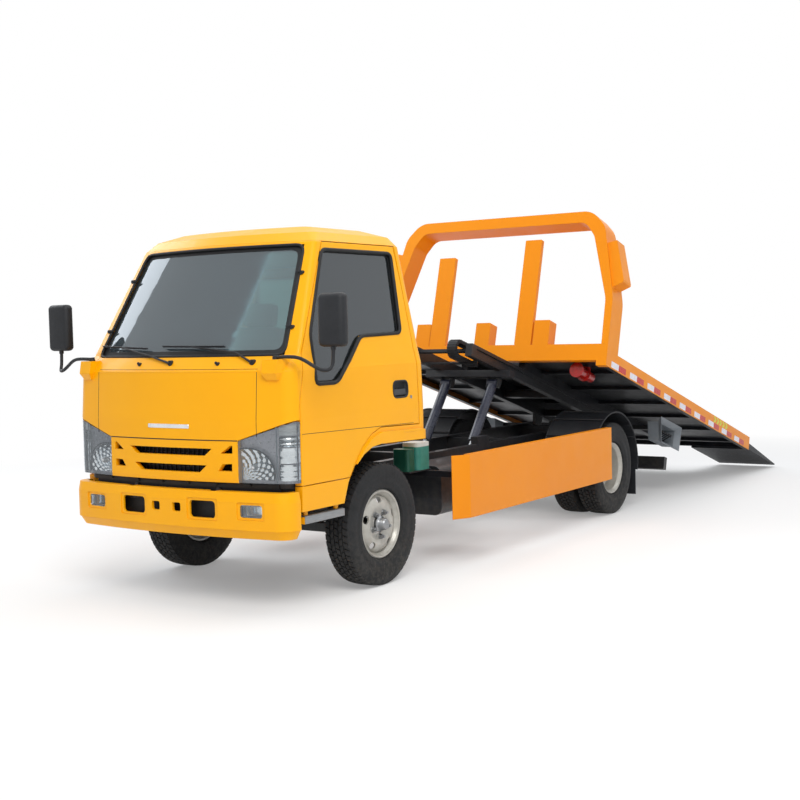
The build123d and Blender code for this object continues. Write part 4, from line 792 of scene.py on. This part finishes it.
# Front wheels: pressed disc with oval vents, studs and a hub cap
for sign, name in ((1, "left"), (-1, "right")):
    centre = (sign * FRONT_X, 0, TYRE_R)
    bm = bmesh.new()
    profile = [(-69, RIM_R - 2), (-60, RIM_R + 4), (60, RIM_R + 4), (69, RIM_R + 3), (74, RIM_R - 4),
               (70, RIM_R - 12), (62, RIM_R - 14), (48, RIM_R - 26), (30, RIM_R - 34), (-48, RIM_R - 28),
               (-69, RIM_R - 12)]
    lathe_bm(bm, profile, centre, sign, 96)
    from_bm("front_rim_barrel_" + name, bm, "silver", "front_wheel_" + name)
    bm = bmesh.new()
    disc = [(30, RIM_R - 30), (46, RIM_R - 42), (60, RIM_R - 58), (66, RIM_R - 80), (64, 108), (56, 92), (55, 60),
            (44, 60), (44, 94), (52, 110), (54, RIM_R - 80), (49, RIM_R - 60), (36, RIM_R - 44), (20, RIM_R - 34)]
    lathe_bm(bm, disc, centre, sign, 96)
    plate = from_bm("front_rim_disc_" + name, bm, "silver", "front_wheel_" + name)
    cutter_bm = bmesh.new()
    for k in range(5):
        a = math.radians(72 * k + 20)
        matrix = Matrix.Translation(truck(centre[0] + sign * 55, 152 * math.cos(a), TYRE_R + 152 * math.sin(a)))
        matrix = matrix @ Matrix.Rotation(a, 4, "X") @ Matrix.Rotation(math.pi / 2, 4, "Y")
        matrix = matrix @ Matrix.Diagonal((1.35, 0.95, 1, 1))
        bmesh.ops.create_cone(cutter_bm, cap_ends=True, segments=28, radius1=0.02, radius2=0.02, depth=0.16,
                              matrix=matrix)
    cutter_mesh = bpy.data.meshes.new("cutter")
    cutter_bm.to_mesh(cutter_mesh)
    cutter_bm.free()
    cutter = bpy.data.objects.new("cutter", cutter_mesh)
    bpy.context.scene.collection.objects.link(cutter)
    cut = plate.modifiers.new("vents", "BOOLEAN")
    cut.object = cutter
    cut.operation = "DIFFERENCE"
    cut.solver = "EXACT"
    graph = bpy.context.evaluated_depsgraph_get()
    done = bpy.data.meshes.new_from_object(plate.evaluated_get(graph))
    plate.modifiers.clear()
    plate.data = done
    bpy.data.objects.remove(cutter)
    bm = bmesh.new()
    for k in range(5):
        a = math.radians(72 * k + 56)
        y, z = 80 * math.cos(a), TYRE_R + 80 * math.sin(a)
        add_rod(bm, truck(centre[0] + sign * 50, y, z), truck(centre[0] + sign * 62, y, z), 0.021, 0.017)
        add_rod(bm, truck(centre[0] + sign * 60, y, z), truck(centre[0] + sign * 78, y, z), 0.017, 0.0155, sides=6)
        add_rod(bm, truck(centre[0] + sign * 76, y, z), truck(centre[0] + sign * 92, y, z), 0.009)
    from_bm("front_studs_" + name, bm, "steel", "front_wheel_" + name)
    bm = bmesh.new()
    cap = [(40, 0.01), (40, 52), (66, 52), (70, 46), (78, 40), (104, 37), (112, 31), (116, 18), (117, 0.01)]
    lathe_bm(bm, cap, centre, sign, 48)
    hub = from_bm("front_hub_cap_" + name, bm, "steel", "front_wheel_" + name)
    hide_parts("front_rim_" + name)

# Rear wheels: studs and lip on the outer rim
for sign, name in ((1, "left"), (-1, "right")):
    cx = sign * (REAR_X + DUAL / 2)
    bm = bmesh.new()
    for k in range(6):
        a = math.radians(60 * k)
        y, z = WHEELBASE + 95 * math.cos(a), TYRE_R + 95 * math.sin(a)
        add_rod(bm, truck(sign * (REAR_X + 28), y, z), truck(sign * (REAR_X + 50), y, z), 0.018, 0.016, sides=6)
        add_rod(bm, truck(sign * (REAR_X + 48), y, z), truck(sign * (REAR_X + 62), y, z), 0.009)
    from_bm("rear_studs_" + name, bm, "steel", "rear_wheels_" + name)
    bm = bmesh.new()
    lip = [(58, RIM_R + 3), (69, RIM_R + 3), (75, RIM_R - 3), (71, RIM_R - 11), (62, RIM_R - 12), (46, RIM_R - 24),
           (10, RIM_R - 30), (-30, RIM_R - 30), (-30, RIM_R - 34), (10, RIM_R - 34), (48, RIM_R - 28)]
    lathe_bm(bm, lip, (cx, WHEELBASE, TYRE_R), sign, 96)
    from_bm("rear_rim_lip_" + name, bm, "silver", "rear_wheels_" + name)

# Side guard: bolts
for sign, name in ((1, "left"), (-1, "right")):
    bm = bmesh.new()
    for y in (765, 1560, 2300, 2845):
        for z in (610, 630):
            add_rod(bm, truck(sign * 1044, y, z), truck(sign * 1040, y, z), 0.008, sides=6)
    from_bm("guard_bolts_" + name, bm, "steel", "chassis")

# Rear fenders: raised ribs and end lip
for sign, name in ((1, "left"), (-1, "right")):
    bm = bmesh.new()
    for angle in (38, 62, 86, 110, 134, 150):
        a = math.radians(angle)
        y, z = WHEELBASE - 477 * math.cos(a), TYRE_R + 477 * math.sin(a)
        turn = Matrix.Rotation(-(math.pi / 2 - a), 3, "X")
        add_box(bm, truck(sign * 706, y, z), (0.452, 0.03, 0.012), turn, bevel=0.004)
    for x in (480, 933):
        points = []
        for k in range(33):
            a = math.radians(-2 + 184 * k / 32)
            points.append(truck(sign * x, WHEELBASE - 476 * math.cos(a), TYRE_R + 476 * math.sin(a)))
        for p, q in zip(points, points[1:]):
            add_rod(bm, p, q, 0.007, sides=8)
    from_bm("fender_ribs_" + name, bm, "plastic", "chassis")

# Reflective tape along the bed's sides: start s, length, colour
for sign, name in ((1, "left"), (-1, "right")):
    body = "bed"
    pieces = {"tape_white": [], "tape_red": [], "tape_lime": []}
    pitch = 388
    for k in range(9):
        s0 = 40 + pitch * k
        pieces["tape_white"].append([(s0, 10), (s0 + 150, 10), (s0 + 150, 60), (s0, 60)])
        pieces["tape_red"].append([(s0 + 150, 10), (s0 + 300, 10), (s0 + 300, 60), (s0 + 150, 60)])
    for k in range(5):
        s0 = 2500 + 84 * k
        pieces["tape_lime"].append([(s0, 66), (s0 + 36, 95), (s0 + 80, 95), (s0 + 44, 66)])
        pieces["tape_lime"].append([(s0 + 36, 95), (s0, 124), (s0 + 44, 124), (s0 + 80, 95)])
    for mat, quads in pieces.items():
        verts, faces = [], []
        for quad in quads:
            base = len(verts)
            for x in (1099.5, 1100.0):
                verts += [bed(sign * x, s, w) for s, w in quad]
            faces += [tuple(base + 4 + i for i in range(4)), tuple(base + i for i in (3, 2, 1, 0))]
            faces += [(base + i, base + (i + 1) % 4, base + 4 + (i + 1) % 4, base + 4 + i) for i in range(4)]
        piece = mesh_piece(mat + "_" + name, verts, faces, mat, body, False)
        piece.data.transform(Matrix.Translation((sign * 0.0008, 0, 0)))

# Seats: a crowned cushion and a back each, and head rests on the outer two
def cushion(name, centre, size, lean=0.0, crown=0.0):
    bm = bmesh.new()
    bmesh.ops.create_cube(bm, size=2.0)
    bmesh.ops.subdivide_edges(bm, edges=bm.edges[:], cuts=11, use_grid_fill=True)
    turn = Matrix.Rotation(math.radians(lean), 3, "X")
    for v in bm.verts:
        x, y, z = v.co
        power = 7
        scale = max(abs(x), abs(y), abs(z)) / (abs(x) ** power + abs(y) ** power + abs(z) ** power) ** (1 / power)
        x, y, z = x * scale, y * scale, z * scale
        soft_x, soft_y, soft_z = 1 - x * x, 1 - y * y, 1 - z * z
        wide = Vector((x * size[0] / 2, y * size[1] / 2, z * size[2] / 2))
        if size[1] > size[2]:
            wide.z += crown * soft_x * soft_y * (1 if z > 0 else 0)
            wide.z -= 0.006 * math.exp(-((abs(x) - 0.6) / 0.05) ** 2) * (1 if z > 0.5 else 0)
        else:
            wide.y -= crown * soft_x * soft_z * (1 if y < 0 else 0)
            wide.y += 0.006 * math.exp(-((abs(x) - 0.6) / 0.05) ** 2) * (1 if y < -0.5 else 0)
        v.co = Vector(centre) + turn @ wide
    obj = from_bm(name, bm, "seat", "cab")
    return obj


for name, x, width in (("left", 430, 0.5), ("middle", 0, 0.28), ("right", -430, 0.5)):
    base = cushion("seat_base_" + name, truck(x, 56, 1006), (width - 0.004, 0.53, 0.135), 3, 0.014)
    cushion("seat_back_" + name, truck(x, 326, 1345), (width - 0.016, 0.105, 0.6), -11.3, 0.014)
    if name != "middle":
        cushion("seat_head_rest_" + name, truck(x, 398, 1725), (0.26, 0.08, 0.16), -11.3, 0.008)
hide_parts("seats")

# Control levers inside each lever box
for sign, name in ((1, "left"), (-1, "right")):
    bm = bmesh.new()
    add_box(bm, tilted(sign * 822, 330, -12), (0.03, 0.3, 0.05), Matrix.Rotation(-TILT, 3, "X"), bevel=0.004)
    for k in range(5):
        s = 225 + 52 * k
        add_rod(bm, tilted(sign * 832, s, 0), tilted(sign * 905, s, 46), 0.006, sides=10)
        add_ball(bm, tilted(sign * 908, s, 48), 0.014)
    from_bm("bed_levers_" + name, bm, "plastic", "tilt_frame")

# Reflective strip along the under-run bar
for index in range(8):
    x0 = -790 + 198 * index
    verts = [tilted(x, s, n) for s in (671.5, 673) for x, n in ((x0, -205), (x0 + 190, -205), (x0 + 190, -150),
                                                              (x0, -150))]
    faces = [(0, 1, 2, 3), (7, 6, 5, 4), (0, 4, 5, 1), (1, 5, 6, 2), (2, 6, 7, 3), (3, 7, 4, 0)]
    mesh_piece("under_run_tape_%d" % index, verts, faces, "tape_white" if index % 2 else "tape_red", "tilt_frame",
               False)

# Links of the energy chain
bm = bmesh.new()
chain_s, chain_n = BED_S - 833 + 20, BED_N - 8 - 40
for k in range(11):
    a = math.radians(90 + 18 * k)
    centre = tilted(150, chain_s + 60 * math.cos(a), chain_n + 60 * math.sin(a))
    add_box(bm, centre, (0.084, 0.009, 0.032), Matrix.Rotation(-TILT, 3, "X") @ Matrix.Rotation(a - math.pi / 2, 3, "X"),
            bevel=0.002)
for k in range(9):
    for n in (-60, 60):
        add_box(bm, tilted(150, chain_s + 14 + 32 * k, chain_n + n), (0.084, 0.009, 0.032),
                Matrix.Rotation(-TILT, 3, "X"), bevel=0.002)
from_bm("chain_links", bm, "plastic", "tilt_frame")

# World, floor, lights and camera
world = bpy.data.worlds.new("plain")
bpy.context.scene.world = world
world.use_nodes = True
tree = world.node_tree
tree.nodes.clear()
out = tree.nodes.new("ShaderNodeOutputWorld")
path = tree.nodes.new("ShaderNodeLightPath")
seen = tree.nodes.new("ShaderNodeMath")
seen.operation = "MAXIMUM"
seen_more = tree.nodes.new("ShaderNodeMath")
seen_more.operation = "MAXIMUM"
tree.links.new(path.outputs["Is Camera Ray"], seen.inputs[0])
tree.links.new(path.outputs["Is Glossy Ray"], seen.inputs[1])
tree.links.new(seen.outputs[0], seen_more.inputs[0])
tree.links.new(path.outputs["Is Transmission Ray"], seen_more.inputs[1])
soft = tree.nodes.new("ShaderNodeBackground")
soft.inputs["Color"].default_value = (0.93, 0.96, 1.0, 1)
soft.inputs["Strength"].default_value = 0.46
white = tree.nodes.new("ShaderNodeBackground")
white.inputs["Color"].default_value = (1, 1, 1, 1)
white.inputs["Strength"].default_value = 1.0
choose = tree.nodes.new("ShaderNodeMixShader")
tree.links.new(seen_more.outputs[0], choose.inputs[0])
tree.links.new(soft.outputs[0], choose.inputs[1])
tree.links.new(white.outputs[0], choose.inputs[2])
tree.links.new(choose.outputs[0], out.inputs["Surface"])

bm = bmesh.new()
bmesh.ops.create_circle(bm, cap_ends=True, segments=64, radius=60)
mesh = bpy.data.meshes.new("floor")
bm.to_mesh(mesh)
bm.free()
floor = bpy.data.objects.new("floor", mesh)
bpy.context.scene.collection.objects.link(floor)
n = Nodes("pale_floor")
n.tree.nodes.remove(n.shader)
matte = n.add("ShaderNodeBsdfDiffuse", {"Color": (0.9, 0.9, 0.9, 1)})
glow = n.add("ShaderNodeEmission", {"Color": (1, 1, 1, 1), "Strength": 1.0})
light = n.add("ShaderNodeLightPath")
shown = n.math("MAXIMUM", n.math("MAXIMUM", light.outputs["Is Camera Ray"], light.outputs["Is Glossy Ray"]),
               light.outputs["Is Transmission Ray"])
spread = n.add("ShaderNodeVectorMath", {0: n.coords}, operation="LENGTH").outputs["Value"]
far = n.ramp(spread, 4.5, 8.0, 0.25, 1.0)
blend = n.add("ShaderNodeMixShader", {0: n.math("MULTIPLY", far, shown), 1: matte.outputs[0], 2: glow.outputs[0]})
n.tree.links.new(blend.outputs[0], n.tree.nodes["Material Output"].inputs["Surface"])
mesh.materials.append(n.mat)


def area(name, place, target, size, power, colour=(1, 1, 1)):
    data = bpy.data.lights.new(name, "AREA")
    data.shape = "RECTANGLE"
    data.size, data.size_y = size
    data.energy = power
    data.color = colour
    obj = bpy.data.objects.new(name, data)
    obj.location = place
    obj.rotation_euler = (Vector(target) - Vector(place)).to_track_quat("-Z", "Y").to_euler()
    bpy.context.scene.collection.objects.link(obj)


area("key_light", (5.5, -8.5, 7.5), (0, -1.5, 0.8), (6, 5), 640, (1.0, 0.98, 0.95))
area("top_light", (1.0, 1.0, 9.0), (0, 0, 0), (9, 12), 480)
area("far_light", (-7.5, -2.0, 5.5), (0, 0, 1), (5, 5), 250, (0.92, 0.96, 1.0))

camera_data = bpy.data.cameras.new("camera")
camera_data.sensor_width = 36
camera_data.lens = 1261.2 / 800 * 36
camera = bpy.data.objects.new("camera", camera_data)
bpy.context.scene.collection.objects.link(camera)
yaw, pitch, roll = math.radians(33.45), math.radians(3.21), math.radians(-1.41)
forward = Vector((-math.sin(yaw) * math.cos(pitch), math.cos(yaw) * math.cos(pitch), -math.sin(pitch)))
right = Vector((math.cos(yaw), math.sin(yaw), 0))
up = right.cross(forward)
right_turned = math.cos(roll) * right + math.sin(roll) * up
up_turned = -math.sin(roll) * right + math.cos(roll) * up
turn = Matrix((right_turned, up_turned, -forward)).transposed()
camera.matrix_world = Matrix.Translation(truck(5274, -6490, 1605)) @ turn.to_4x4()
camera_data.clip_end = 200
bpy.context.scene.camera = camera
bpy.context.scene.view_settings.view_transform = "Standard"
